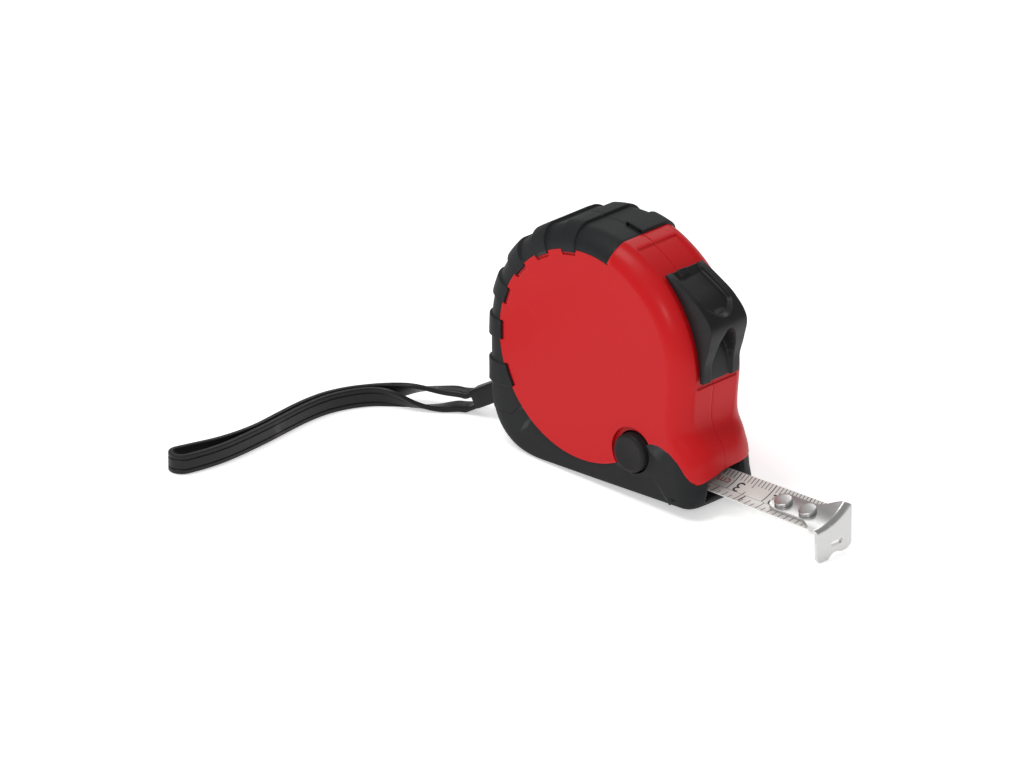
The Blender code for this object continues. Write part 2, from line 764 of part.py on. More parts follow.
def reel():
    """The spool with its cover, the wound blade and the power spring, on the post."""
    bore = POST_RADIUS + GAP
    room = COIL_WIDTH / 2 + GAP
    outside = room + FLANGE_SHEET
    drum = [
        (bore, outside),
        (FLANGE_RADIUS, outside),
        (FLANGE_RADIUS, room),
        (DRUM_RADIUS, room),
        (DRUM_RADIUS, -COIL_WIDTH / 2),
        (DRUM_RADIUS - DRUM_WALL, -COIL_WIDTH / 2),
        (DRUM_RADIUS - DRUM_WALL, room),
        (bore, room),
    ]
    turned("spool", drum, ALONG_Y, WHITE, 32)
    cover = [(bore, -room), (FLANGE_RADIUS, -room), (FLANGE_RADIUS, -outside), (bore, -outside)]
    turned("spool_cover", cover, ALONG_Y, WHITE, 32)
    coil = [
        (DRUM_RADIUS + GAP, COIL_WIDTH / 2),
        (COIL_RADIUS, COIL_WIDTH / 2),
        (COIL_RADIUS, -COIL_WIDTH / 2),
        (DRUM_RADIUS + GAP, -COIL_WIDTH / 2),
    ]
    turned("blade_coil", coil, ALONG_Y, ENAMEL, 32)
    end = HALF - CAVITY - GAP
    rod("centre_post", CENTRE, POST_RADIUS, -end, end, STEEL)
    power_spring()


def power_spring():
    """A flat spring wound between the post and the drum."""
    first = POST_RADIUS + GAP + SPRING_SHEET
    last = DRUM_RADIUS - DRUM_WALL - GAP - SPRING_SHEET
    half = COIL_WIDTH / 2 - GAP
    steps = SPRING_TURNS * 14
    shape = bmesh.new()
    line = []
    for i in range(steps + 1):
        x, z = polar(360.0 * SPRING_TURNS * i / steps, first + (last - first) * i / steps)
        line.append(shape.verts.new((x, -half, z)))
    edges = [shape.edges.new(pair) for pair in zip(line, line[1:])]
    raised = bmesh.ops.extrude_edge_only(shape, edges=edges)["geom"]
    corners = [g for g in raised if isinstance(g, bmesh.types.BMVert)]
    bmesh.ops.translate(shape, verts=corners, vec=(0, 2 * half, 0))
    made = finish_mesh("power_spring", shape, SPRING)
    wall = made.modifiers.new("sheet", "SOLIDIFY")
    wall.thickness = SPRING_SHEET
    wall.offset = 0.0
    return made


# ---------- blade and hook ----------

TONGUE_LOW = BLADE_SHEET + GAP / 2
TONGUE_HIGH = TONGUE_LOW + HOOK_SHEET


def sagged(across):
    """The blade's underside, below the line between its edges."""
    return -BLADE_SAG * (1 - (2 * across / BLADE_CHORD) ** 2)


def blade():
    """The straight stretch of blade, curved across its width, with a hole for each rivet."""
    stops = [BLADE_CHORD * (i / 8 - 0.5) for i in range(9)]
    under = [(y, sagged(y)) for y in stops]
    over = [(y, z + BLADE_SHEET) for y, z in reversed(under)]
    made = plate("blade", under + over, BLADE_REAR, BLADE_FRONT, ENAMEL, "YZ", ON_BLADE)
    for name, x in RIVETS:
        hole = plate(name + "_hole", circle((x, 0.0), RIVET_SHANK + GAP, 12), -BLADE_CHORD, BLADE_CHORD, None, "XY",
                     ON_BLADE)
        cut(made, hole)
    return made


def rivets():
    """The two rivets that hold the hook loosely on the blade."""
    under = -BLADE_SAG - GAP / 2
    over = TONGUE_HIGH + GAP / 2
    tail = 1.6 * RIVET_SHANK
    profile = [
        (0.0, under - 0.5 * MM),
        (tail, under - 0.5 * MM),
        (tail, under),
        (RIVET_SHANK, under),
        (RIVET_SHANK, over),
        (RIVET_HEAD, over),
        (RIVET_HEAD, over + RIVET_RISE - 0.3 * MM),
        (0.7 * RIVET_HEAD, over + RIVET_RISE),
        (0.0, over + RIVET_RISE),
    ]
    for name, x in RIVETS:
        turned(name, profile, ON_BLADE @ Matrix.Translation((x, 0, 0)), STEEL, 16)


def tongue_outline():
    """The hook's tongue, round at its rear and as wide as the flange in front."""
    half = TONGUE_WIDTH / 2
    wide = HOOK_WIDTH / 2
    front = BLADE_FRONT + GAP + HOOK_SHEET
    round_end = circle((TONGUE_REAR + half, 0.0), half, 8, 90.0, 270.0)
    flare = smooth([(TONGUE_FLARE, -half), (BLADE_FRONT - 3 * MM, -TONGUE_SHOULDER * wide),
                    (BLADE_FRONT, -TONGUE_FRONT * MOUTH_WIDTH)], 3)
    side = flare + [(front, -TONGUE_BEND * MOUTH_WIDTH)]
    return round_end + side + [(x, -y) for x, y in reversed(side)]


def hook():
    """The end hook: a tongue under the rivets' heads, and a flange with a slot and two claws."""
    body = plate("end_hook", tongue_outline(), TONGUE_LOW, TONGUE_HIGH, STEEL, "XY", ON_BLADE)
    for name, x in RIVETS:
        rear = circle((x - HOOK_PLAY, 0.0), RIVET_SHANK + GAP, 6, 90.0, 270.0)
        front = circle((x, 0.0), RIVET_SHANK + GAP, 6, -90.0, 90.0)
        cut(body, plate(name + "_slot", rear + front, -BLADE_CHORD, BLADE_CHORD, None, "XY", ON_BLADE))
    slope = math.tan(math.radians(BLADE_ROLL))
    half = HOOK_WIDTH / 2
    top = BLADE_HEIGHT + TONGUE_HIGH / math.cos(math.radians(BLADE_ROLL))
    low = BLADE_HEIGHT - HOOK_DROP
    claws = [
        (half, low + 1.0 * MM),
        (half - 1.4 * MM, low - 0.2 * MM),
        (half - 3.4 * MM, low - 0.2 * MM),
        (CLAW_NOTCH / 2 + 0.2 * MM, low + 0.3 * MM),
        (-CLAW_NOTCH / 2, low + 0.1 * MM),
        (-half + 4.0 * MM, low - 1.1 * MM),
        (-half + 2.2 * MM, low - 1.2 * MM),
        (-half, low + 0.2 * MM),
    ]
    outline = [(half, top + half * slope)] + claws + [(-half, top - half * slope)]
    back = BLADE_FRONT + GAP
    flange = plate("hook_flange", outline, back, back + HOOK_SHEET, None, "YZ")
    join(body, flange)
    long, tall = HOOK_SLOT
    slot = box("flange_slot", (back - HOOK_SHEET, -long / 2, low + 2.2 * MM),
               (back + 2 * HOOK_SHEET, long / 2, low + 2.2 * MM + tall))
    return cut(body, slot)


# ---------- thumb lock and brake ----------

def thumb_lock():
    """The thumb piece on the front, and behind it the shoe that presses on the blade."""
    under = arc(CASE_RADIUS + GAP, LOCK_PROFILE[-1][0], LOCK_PROFILE[0][0], 10)
    knots = [polar(angle, CASE_RADIUS + GAP + rise) for angle, rise in LOCK_PROFILE]
    plate("thumb_lock", under + smooth(knots, 3), -LOCK_WIDTH / 2, LOCK_WIDTH / 2, BLACK)
    outside = CASE_RADIUS - CAVITY - GAP
    inside = outside - SHOE_SHEET
    foot = arc(outside + SHOE_FOOT, SHOE_END, SHOE_END + 8.0, 3)
    stem = arc(CASE_RADIUS, STEM_START, STEM_END, 4)
    outer = foot + arc(outside, SHOE_END + 8.0, STEM_START, 10) + stem
    inner = arc(inside, STEM_END, SHOE_END, 14)
    plate("lock_shoe", outer + inner, -STEM_WIDTH / 2, STEM_WIDTH / 2, BLACK)


BUTTON_FLANGE = -HALF + CAVITY + GAP
PAD_FRONT = BUTTON_FLANGE + BUTTON_COLLAR + GAP
PAD_BACK = PAD_FRONT + PAD_SHEET
SPRING_NEAR = PAD_BACK + GAP
SPRING_FAR = SPRING_NEAR + BUTTON_SPRING_LENGTH


def brake():
    """The button, the pad that it presses on the reel's flange, and the spring that brings it back."""
    spot = Matrix.Translation((BUTTON_X, 0, BUTTON_Z)) @ Matrix.Rotation(-math.pi / 2, 4, "X")
    face = -HALF - BUTTON_RISE
    profile = [
        (0.0, face),
        (BUTTON_RADIUS - BUTTON_EDGE, face),
        (BUTTON_RADIUS, face + BUTTON_EDGE),
        (BUTTON_RADIUS, BUTTON_FLANGE),
        (BUTTON_RADIUS + 2 * BUTTON_WELL, BUTTON_FLANGE),
        (BUTTON_RADIUS + 2 * BUTTON_WELL, BUTTON_FLANGE + BUTTON_COLLAR),
        (0.0, BUTTON_FLANGE + BUTTON_COLLAR),
    ]
    turned("brake_button", profile, spot, BLACK)
    rod("brake_pad", (BUTTON_X, BUTTON_Z), BUTTON_RADIUS + 2 * BUTTON_WELL, PAD_FRONT, PAD_BACK, RUBBER_FINISH)
    spring_wire()


def spring_wire():
    """The button's spring, between the pad and the far half's seat."""
    wire = BUTTON_SPRING_WIRE
    radius = BUTTON_STEM - GAP - 2 * wire
    turns = 4
    steps = turns * 10
    drawing = bpy.data.curves.new("button_spring", "CURVE")
    drawing.dimensions = "3D"
    drawing.bevel_depth = wire
    drawing.bevel_resolution = 0
    drawing.use_fill_caps = True
    line = drawing.splines.new("POLY")
    line.points.add(steps)
    for i, knot in enumerate(line.points):
        turn = 2 * math.pi * turns * i / steps
        along = SPRING_NEAR + wire + (SPRING_FAR - SPRING_NEAR - 2 * wire) * i / steps
        knot.co = (BUTTON_X + radius * math.cos(turn), along, BUTTON_Z + radius * math.sin(turn), 1.0)
    drawing.materials.append(SPRING)
    made = bpy.data.objects.new("button_spring", drawing)
    PARTS.objects.link(made)
    return made


def main():
    case()
    screws()
    strap_parts()
    reel()
    blade()
    rivets()
    hook()
    thumb_lock()
    brake()


main()
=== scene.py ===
"""Looks of a pocket tape measure: camera, strap, case halves, rubber, lock, button, blade and hook.

Lengths are in metres. +X is the way the blade comes out, -Y the side with the button, +Z up.
"""
from __future__ import annotations

import logging
import math
from collections.abc import Callable
from dataclasses import dataclass, field
from enum import Enum

import bmesh
import bpy
from mathutils import Matrix, Vector


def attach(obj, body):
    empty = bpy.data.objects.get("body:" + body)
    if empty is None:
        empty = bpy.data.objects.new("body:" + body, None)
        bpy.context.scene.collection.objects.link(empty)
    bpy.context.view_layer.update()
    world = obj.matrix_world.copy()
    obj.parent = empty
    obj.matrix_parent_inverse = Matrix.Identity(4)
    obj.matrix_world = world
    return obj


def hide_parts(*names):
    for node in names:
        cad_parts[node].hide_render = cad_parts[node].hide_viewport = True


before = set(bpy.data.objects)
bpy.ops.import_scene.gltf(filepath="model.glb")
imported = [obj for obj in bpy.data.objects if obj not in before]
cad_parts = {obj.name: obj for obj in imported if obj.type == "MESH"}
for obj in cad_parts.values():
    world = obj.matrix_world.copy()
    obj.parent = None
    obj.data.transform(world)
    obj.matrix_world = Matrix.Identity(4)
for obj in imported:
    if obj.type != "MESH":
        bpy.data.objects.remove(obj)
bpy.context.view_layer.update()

LOG = logging.getLogger("tape_measure")
MM = 0.001
Place = Callable[[float, float], Vector]

# landmarks of the case's first coordinate, in degrees; CaseForm says what lies between them
TOP_START = -8.0
BACK_TOP = 180.0
CORNER_END = 270.0
BASE_END = 300.0
NOSE_END = 352.0

BUTTON_CENTRE = (14.3 * MM, 9.6 * MM)


class Side(Enum):
    """The two halves of the case, by the sign of their flat side's Y."""

    NEAR = -1
    FAR = 1


# ---------- small tools ----------


def smoothstep(low: float, high: float, value: float) -> float:
    """A smooth climb from 0 at low to 1 at high.

    Args:
        low: where the climb starts.
        high: where it ends, which may be below low.
        value: the place to read.

    Returns:
        The height there, from 0 to 1.
    """
    share = min(1.0, max(0.0, (value - low) / (high - low)))
    return share * share * (3 - 2 * share)


def between(knots: tuple[tuple[float, float], ...], value: float) -> float:
    """Reads a line of straight stretches through rising knots.

    Args:
        knots: pairs of place and height, places rising.
        value: the place to read.

    Returns:
        The height there.
    """
    if value <= knots[0][0]:
        return knots[0][1]
    for (low, start), (high, end) in zip(knots, knots[1:]):
        if value <= high:
            return start + (end - start) * (value - low) / (high - low)
    return knots[-1][1]


def solve(read: Callable[[float], float], wanted: float, low: float, high: float) -> float:
    """Finds by halving where a rising function has a value.

    Args:
        read: the function.
        wanted: the value.
        low: a place before it.
        high: a place after it.

    Returns:
        The place.
    """
    for _ in range(40):
        middle = (low + high) / 2
        if read(middle) < wanted:
            low = middle
        else:
            high = middle
    return (low + high) / 2


def wrapped(u: float) -> float:
    """A place round the outline, brought to between -8 and 352 degrees."""
    return (u - TOP_START) % 360.0 + TOP_START


def curve_at(points: list[Vector], share: float) -> Vector:
    """A point on the smooth curve through points.

    Args:
        points: the knots, of any dimension.
        share: how far along, counted in knots.

    Returns:
        The point.
    """
    index = min(int(share), len(points) - 2)
    t = share - index
    b, c = points[index], points[index + 1]
    a = points[index - 1] if index > 0 else 2 * b - c
    d = points[index + 2] if index + 2 < len(points) else 2 * c - b
    return 0.5 * (2 * b + (c - a) * t + (2 * a - 5 * b + 4 * c - d) * t * t + (3 * b - a - 3 * c + d) * t ** 3)


def steps(low: float, high: float, count: int) -> list[float]:
    """Evenly spaced values from low to high, both included."""
    return [low + (high - low) * i / count for i in range(count + 1)]


def merged(values: list[float], least: float) -> list[float]:
    """Sorted values with those closer than least to the one before left out, except the last.

    Args:
        values: the values, in any order.
        least: the least step.

    Returns:
        The values that are kept.
    """
    out: list[float] = []
    for value in sorted(values):
        if not out or value - out[-1] >= least:
            out.append(value)
    last = max(values)
    if out[-1] != last:
        out[-1] = last
    return out


def add_patch(shape: bmesh.types.BMesh, across: list[float], along: list[float], place: Place) -> None:
    """Adds a grid to a shape and lays it on a surface.

    Args:
        shape: the bmesh that takes the grid.
        across: the first coordinate of the grid's columns.
        along: the second coordinate of its rows.
        place: gives the point for a pair of coordinates.
    """
    made = bmesh.ops.create_grid(shape, x_segments=len(across) - 1, y_segments=len(along) - 1, size=0.5)
    for corner in made["verts"]:
        i = round((corner.co.x + 0.5) * (len(across) - 1))
        j = round((corner.co.y + 0.5) * (len(along) - 1))
        corner.co = place(across[i], along[j])


def clean(shape: bmesh.types.BMesh) -> None:
    """Merges doubles, removes edges of no length and makes the faces agree on one direction.

    Args:
        shape: the bmesh.
    """
    bmesh.ops.remove_doubles(shape, verts=shape.verts, dist=1e-6)
    bmesh.ops.dissolve_degenerate(shape, edges=shape.edges, dist=1e-7)
    bmesh.ops.recalc_face_normals(shape, faces=shape.faces)


def weld(shape: bmesh.types.BMesh, centre: Vector) -> None:
    """Cleans an open sheet and turns its faces away from a centre.

    Args:
        shape: the bmesh.
        centre: the centre.
    """
    clean(shape)
    shape.normal_update()
    facing = sum(f.normal.dot(f.calc_center_median() - centre) * f.calc_area() for f in shape.faces)
    if facing < 0:
        bmesh.ops.reverse_faces(shape, faces=shape.faces)


def to_object(name: str, shape: bmesh.types.BMesh) -> bpy.types.Object:
    """Makes a scene object of a bmesh and frees it.

    Args:
        name: the object's name.
        shape: the bmesh.

    Returns:
        The object.
    """
    mesh = bpy.data.meshes.new(name)
    shape.to_mesh(mesh)
    shape.free()
    made = bpy.data.objects.new(name, mesh)
    bpy.context.scene.collection.objects.link(made)
    return made


def settle(piece: bpy.types.Object, sharp: float = 38.0) -> None:
    """Applies a piece's modifiers and shades it smooth but for its sharp edges.

    Args:
        piece: the object.
        sharp: the angle from which an edge is sharp, in degrees.
    """
    graph = bpy.context.evaluated_depsgraph_get()
    mesh = bpy.data.meshes.new_from_object(piece.evaluated_get(graph))
    old = piece.data
    piece.modifiers.clear()
    piece.data = mesh
    mesh.name = piece.name
    bpy.data.meshes.remove(old)
    mesh.shade_smooth()
    mesh.set_sharp_from_angle(angle=math.radians(sharp))


def thicken(piece: bpy.types.Object, wall: float) -> None:
    """Gives an open sheet a wall on its inner side.

    Args:
        piece: the object.
        wall: the wall's thickness.
    """
    step = piece.modifiers.new("wall", "SOLIDIFY")
    step.thickness = wall
    step.offset = -1.0
    step.use_rim = True


def round_edges(piece: bpy.types.Object, width: float, segments: int = 2, angle: float = 40.0) -> None:
    """Rounds a piece's sharp edges with a bevel.

    Args:
        piece: the object.
        width: the bevel's width.
        segments: how many faces it has across.
        angle: the angle from which an edge is rounded, in degrees.
    """
    step = piece.modifiers.new("edges", "BEVEL")
    step.width = width
    step.segments = segments
    step.limit_method = "ANGLE"
    step.angle_limit = math.radians(angle)
    step.profile = 0.5


def cut(piece: bpy.types.Object, tool: bpy.types.Object) -> None:
    """Cuts a tool's solid out of a piece and removes the tool.

    Args:
        piece: the object.
        tool: the solid.
    """
    step = piece.modifiers.new("cut", "BOOLEAN")
    step.operation = "DIFFERENCE"
    step.solver = "EXACT"
    step.object = tool
    settle(piece)
    bpy.data.objects.remove(tool, do_unlink=True)


def rod_along_y(centre: tuple[float, float], radius: float, low: float, high: float) -> bpy.types.Object:
    """A round bar along Y.

    Args:
        centre: its (x, z) place.
        radius: its radius.
        low: the Y of its one end.
        high: the Y of its other end.

    Returns:
        The object.
    """
    shape = bmesh.new()
    bmesh.ops.create_cone(shape, cap_ends=True, segments=64, radius1=radius, radius2=radius,
                          depth=abs(high - low))
    bmesh.ops.rotate(shape, verts=shape.verts, cent=(0, 0, 0), matrix=Matrix.Rotation(math.pi / 2, 3, "X"))
    bmesh.ops.translate(shape, verts=shape.verts, vec=(centre[0], (low + high) / 2, centre[1]))
    return to_object("tool", shape)


def turned(name: str, profile: list[tuple[float, float]], place: Matrix, sides: int = 64) -> bpy.types.Object:
    """A turned solid.

    Args:
        name: the object's name.
        profile: an open line of (radius, height) points that starts and ends on the axis.
        place: where the solid's axis goes.
        sides: how many steps the spin takes.

    Returns:
        The object.
    """
    shape = bmesh.new()
    corners = [shape.verts.new((radius, 0.0, height)) for radius, height in profile]
    for pair in zip(corners, corners[1:]):
        shape.edges.new(pair)
    bmesh.ops.spin(shape, geom=shape.verts[:] + shape.edges[:], cent=(0, 0, 0), axis=(0, 0, 1),
                   angle=2 * math.pi, steps=sides, use_merge=True)
    bmesh.ops.transform(shape, verts=shape.verts, matrix=place)
    bmesh.ops.remove_doubles(shape, verts=shape.verts, dist=1e-6)
    bmesh.ops.recalc_face_normals(shape, faces=shape.faces)
    made = to_object(name, shape)
    made.data.shade_smooth()
    made.data.set_sharp_from_angle(angle=math.radians(35))
    return made


def swept(name: str, stations: list[tuple[Vector, Vector, Vector]],
          section: list[tuple[float, float]]) -> bpy.types.Object:
    """A section drawn along stations and closed at both ends.

    Args:
        name: the object's name.
        stations: for each ring its centre and the section's two directions.
        section: the ring's corners, along those directions.

    Returns:
        The object.
    """
    shape = bmesh.new()
    centre, first, second = stations[0]
    ring = [shape.verts.new(centre + first * a + second * b) for a, b in section]
    cap = shape.faces.new(ring)
    edges = list(cap.edges)
    for centre, first, second in stations[1:]:
        grown = bmesh.ops.extrude_edge_only(shape, edges=edges)["geom"]
        fresh = [g for g in grown if isinstance(g, bmesh.types.BMVert)]
        edges = [g for g in grown if isinstance(g, bmesh.types.BMEdge) and all(v in fresh for v in g.verts)]
        order = {v: i for i, v in enumerate(ring)}
        follow = [None] * len(ring)
        for v in fresh:
            for e in v.link_edges:
                other = e.other_vert(v)
                if other in order:
                    follow[order[other]] = v
        ring = follow
        for v, (a, b) in zip(ring, section):
            v.co = centre + first * a + second * b
    shape.faces.new(ring)
    bmesh.ops.recalc_face_normals(shape, faces=shape.faces)
    return to_object(name, shape)


def mount(piece: bpy.types.Object, body: str, slot: str, *nodes: str) -> None:
    """Puts a piece on its CAD body and hides the CAD nodes that it stands for.

    Args:
        piece: the object.
        body: the CAD body it moves with.
        slot: not used.
        nodes: the CAD nodes it replaces.
    """
    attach(piece, body)
    if nodes:
        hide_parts(*nodes)
    LOG.info("%s rides on %s, %d faces", piece.name, body, len(piece.data.polygons))


# ---------- finishes ----------


class Finishes:
    """Shader node groups and materials that the pieces share."""

    def __init__(self) -> None:
        """Builds the shared groups once."""
        self.grain = self._grain_group()
        # the edge mask paints edge highlights as well as edge wear
        self.wear_and_highlight = self._wear_and_highlight_group()
        self.dust = self._dust_group()

    @staticmethod
    def _group(name: str, inputs: list[tuple[str, str, float]], outputs: list[tuple[str, str]]) -> tuple:
        """Starts a node group.

        Args:
            name: the group's name.
            inputs: name, socket type and default of each input.
            outputs: name and socket type of each output.

        Returns:
            The group, its input node and its output node.
        """
        group = bpy.data.node_groups.new(name, "ShaderNodeTree")
        for title, kind, default in inputs:
            made = group.interface.new_socket(name=title, in_out="INPUT", socket_type=kind)
            made.default_value = default
        for title, kind in outputs:
            group.interface.new_socket(name=title, in_out="OUTPUT", socket_type=kind)
        return group, group.nodes.new("NodeGroupInput"), group.nodes.new("NodeGroupOutput")

    def _grain_group(self) -> bpy.types.NodeTree:
        """Fine moulded grain: a height that changes over the surface.

        Returns:
            The group.
        """
        group, given, out = self._group(
            "moulded_grain", [("Size", "NodeSocketFloat", 2500.0), ("Amount", "NodeSocketFloat", 1.0)],
            [("Height", "NodeSocketFloat")])
        place = group.nodes.new("ShaderNodeTexCoord")
        fine = group.nodes.new("ShaderNodeTexNoise")
        fine.inputs["Detail"].default_value = 3.0
        fine.inputs["Roughness"].default_value = 0.6
        pits = group.nodes.new("ShaderNodeTexVoronoi")
        blend = group.nodes.new("ShaderNodeMath")
        blend.operation = "MULTIPLY_ADD"
        blend.inputs[1].default_value = 0.35
        scaled = group.nodes.new("ShaderNodeMath")
        scaled.operation = "MULTIPLY"
        link = group.links.new
        link(place.outputs["Object"], fine.inputs["Vector"])
        link(place.outputs["Object"], pits.inputs["Vector"])
        link(given.outputs["Size"], fine.inputs["Scale"])
        link(given.outputs["Size"], pits.inputs["Scale"])
        link(pits.outputs["Distance"], blend.inputs[0])
        link(fine.outputs["Fac"], blend.inputs[2])
        link(blend.outputs[0], scaled.inputs[0])
        link(given.outputs["Amount"], scaled.inputs[1])
        link(scaled.outputs[0], out.inputs["Height"])
        return group

    def _wear_and_highlight_group(self) -> bpy.types.NodeTree:
        """Edges rubbed by hands, with painted edge highlights: a mask from how sharply the surface turns, broken up
        by noise.

        Returns:
            The group.
        """
        group, given, out = self._group(
            "edge_wear_and_highlight", [("Low", "NodeSocketFloat", 0.52), ("High", "NodeSocketFloat", 0.62)],
            [("Mask", "NodeSocketFloat")])
        shape = group.nodes.new("ShaderNodeNewGeometry")
        place = group.nodes.new("ShaderNodeTexCoord")
        noise = group.nodes.new("ShaderNodeTexNoise")
        noise.inputs["Scale"].default_value = 420.0
        ramp = group.nodes.new("ShaderNodeMapRange")
        times = group.nodes.new("ShaderNodeMath")
        times.operation = "MULTIPLY"
        link = group.links.new
        link(shape.outputs["Pointiness"], ramp.inputs["Value"])
        link(given.outputs["Low"], ramp.inputs["From Min"])
        link(given.outputs["High"], ramp.inputs["From Max"])
        link(place.outputs["Object"], noise.inputs["Vector"])
        link(ramp.outputs["Result"], times.inputs[0])
        link(noise.outputs["Fac"], times.inputs[1])
        link(times.outputs[0], out.inputs["Mask"])
        return group

    def _dust_group(self) -> bpy.types.NodeTree:
        """Faint uneven dust and handling marks: a mask of large soft patches with small specks.

        Returns:
            The group.
        """
        group, given, out = self._group(
            "dust", [("Amount", "NodeSocketFloat", 0.2)], [("Mask", "NodeSocketFloat")])
        place = group.nodes.new("ShaderNodeTexCoord")
        broad = group.nodes.new("ShaderNodeTexNoise")
        broad.inputs["Scale"].default_value = 60.0
        broad.inputs["Detail"].default_value = 6.0
        specks = group.nodes.new("ShaderNodeTexNoise")
        specks.inputs["Scale"].default_value = 1400.0
        both = group.nodes.new("ShaderNodeMath")
        both.operation = "MULTIPLY"
        times = group.nodes.new("ShaderNodeMath")
        times.operation = "MULTIPLY"
        link = group.links.new
        link(place.outputs["Object"], broad.inputs["Vector"])
        link(place.outputs["Object"], specks.inputs["Vector"])
        link(broad.outputs["Fac"], both.inputs[0])
        link(specks.outputs["Fac"], both.inputs[1])
        link(both.outputs[0], times.inputs[0])
        link(given.outputs["Amount"], times.inputs[1])
        link(times.outputs[0], out.inputs["Mask"])
        return group


class ColourMix:
    """A Mix node for colours, read by the names of its sockets."""

    def __init__(self, tree: bpy.types.NodeTree, first: tuple, second: tuple) -> None:
        """Makes the node and sets its two colours.

        Args:
            tree: the material's nodes.
            first: the colour at 0.
            second: the colour at 1.
        """
        self.node = tree.nodes.new("ShaderNodeMix")
        self.node.data_type = "RGBA"
        self.inputs = {"Factor": self.node.inputs[0], "A": self.node.inputs[6], "B": self.node.inputs[7]}
        self.outputs = {"Result": self.node.outputs[2]}
        self.inputs["A"].default_value = (*first, 1.0)
        self.inputs["B"].default_value = (*second, 1.0)


@dataclass(frozen=True)
class Finish:
    """A moulded, rubber or metal finish.

    The colour runs between two tints with the dust mask. Worn edges, which also carry a painted edge highlight, go
    to a lighter third tint, and the grain gives the bump.
    """

    name: str
    colour: tuple[float, float, float]
    dusty: tuple[float, float, float]
    # lighter tint on sharply turning edges: edge wear and a painted edge highlight
    worn_and_highlight: tuple[float, float, float]
    roughness: float
    roughness_change: float = 0.08
    metallic: float = 0.0
    grain_size: float = 2500.0
    grain_height: float = 0.02
    dust: float = 0.5
    # pointiness range of the edges that get the worn tint and the painted highlight
    wear_and_highlight: tuple[float, float] = (0.53, 0.62)
    coat: float = 0.0
    specular: float = 0.5

    def make(self, shared: Finishes) -> bpy.types.Material:
        """Builds the material.

        Args:
            shared: the node groups.

        Returns:
            The material.
        """
        made = bpy.data.materials.new(self.name)
        made.use_nodes = True
        tree = made.node_tree
        shader = tree.nodes["Principled BSDF"]
        shader.inputs["Metallic"].default_value = self.metallic
        shader.inputs["Specular IOR Level"].default_value = self.specular
        shader.inputs["Coat Weight"].default_value = self.coat
        shader.inputs["Coat Roughness"].default_value = 0.25
        link = tree.links.new
        dust = self._place(tree, shared.dust, {"Amount": self.dust})
        wear_and_highlight = self._place(tree, shared.wear_and_highlight, {"Low": self.wear_and_highlight[0], "High": self.wear_and_highlight[1]})
        grain = self._place(tree, shared.grain, {"Size": self.grain_size, "Amount": 1.0})
        tint = ColourMix(tree, self.colour, self.dusty)
        link(dust.outputs["Mask"], tint.inputs["Factor"])
        # sharply turning edges go to the lighter tint: edge wear with a painted edge highlight
        edge = ColourMix(tree, self.colour, self.worn_and_highlight)
        link(tint.outputs["Result"], edge.inputs["A"])
        link(wear_and_highlight.outputs["Mask"], edge.inputs["Factor"])
        link(edge.outputs["Result"], shader.inputs["Base Color"])
        rough = tree.nodes.new("ShaderNodeMapRange")
        rough.inputs["To Min"].default_value = self.roughness
        rough.inputs["To Max"].default_value = self.roughness + self.roughness_change
        link(grain.outputs["Height"], rough.inputs["Value"])
        link(rough.outputs["Result"], shader.inputs["Roughness"])
        bump = tree.nodes.new("ShaderNodeBump")
        bump.inputs["Strength"].default_value = 1.0
        bump.inputs["Distance"].default_value = self.grain_height * MM
        link(grain.outputs["Height"], bump.inputs["Height"])
        link(bump.outputs["Normal"], shader.inputs["Normal"])
        return made

    @staticmethod
    def _place(tree: bpy.types.NodeTree, group: bpy.types.NodeTree, values: dict[str, float]) -> bpy.types.Node:
        """Puts a shared group in a material with its own values.

        Args:
            tree: the material's nodes.
            group: the shared group.
            values: its inputs by name.

        Returns:
            The group's node.
        """
        node = tree.nodes.new("ShaderNodeGroup")
        node.node_tree = group
        for title, value in values.items():
            node.inputs[title].default_value = value
        return node


# Each finish's third tint is lighter than its colour: on sharp edges it paints edge highlights as well as wear.
RED_PLASTIC = Finish("red_plastic", (0.57, 0.008, 0.011), (0.60, 0.02, 0.025), (0.66, 0.04, 0.05), 0.40, 0.10,
                     grain_size=1500.0, grain_height=0.012, dust=0.25, wear_and_highlight=(0.55, 0.68), coat=0.18, specular=0.1)
GRIP_RUBBER = Finish("grip_rubber", (0.012, 0.013, 0.014), (0.024, 0.026, 0.027), (0.06, 0.065, 0.065),
                     0.50, 0.12, grain_size=2600.0, grain_height=0.02, dust=0.45, wear_and_highlight=(0.53, 0.63), specular=0.22)
LOCK_PLASTIC = Finish("lock_plastic", (0.009, 0.009, 0.01), (0.018, 0.018, 0.019), (0.06, 0.062, 0.064),
                      0.34, 0.10, grain_size=1900.0, grain_height=0.012, dust=0.35, wear_and_highlight=(0.52, 0.62), specular=0.25)
BUTTON_PLASTIC = Finish("button_plastic", (0.010, 0.010, 0.011), (0.02, 0.02, 0.021), (0.06, 0.062, 0.064),
                        0.42, 0.14, grain_size=1300.0, grain_height=0.03, dust=0.4, wear_and_highlight=(0.52, 0.62), specular=0.22)
STRAP_RUBBER = Finish("strap_rubber", (0.009, 0.009, 0.01), (0.018, 0.019, 0.02), (0.05, 0.052, 0.054),
                      0.36, 0.12, grain_size=1200.0, grain_height=0.012, dust=0.35, wear_and_highlight=(0.52, 0.64), specular=0.25)
HOOK_STEEL = Finish("hook_steel", (0.60, 0.60, 0.59), (0.48, 0.48, 0.47), (0.8, 0.8, 0.79), 0.27, 0.10,
                    metallic=1.0, grain_size=900.0, grain_height=0.008, dust=0.5, wear_and_highlight=(0.53, 0.63))
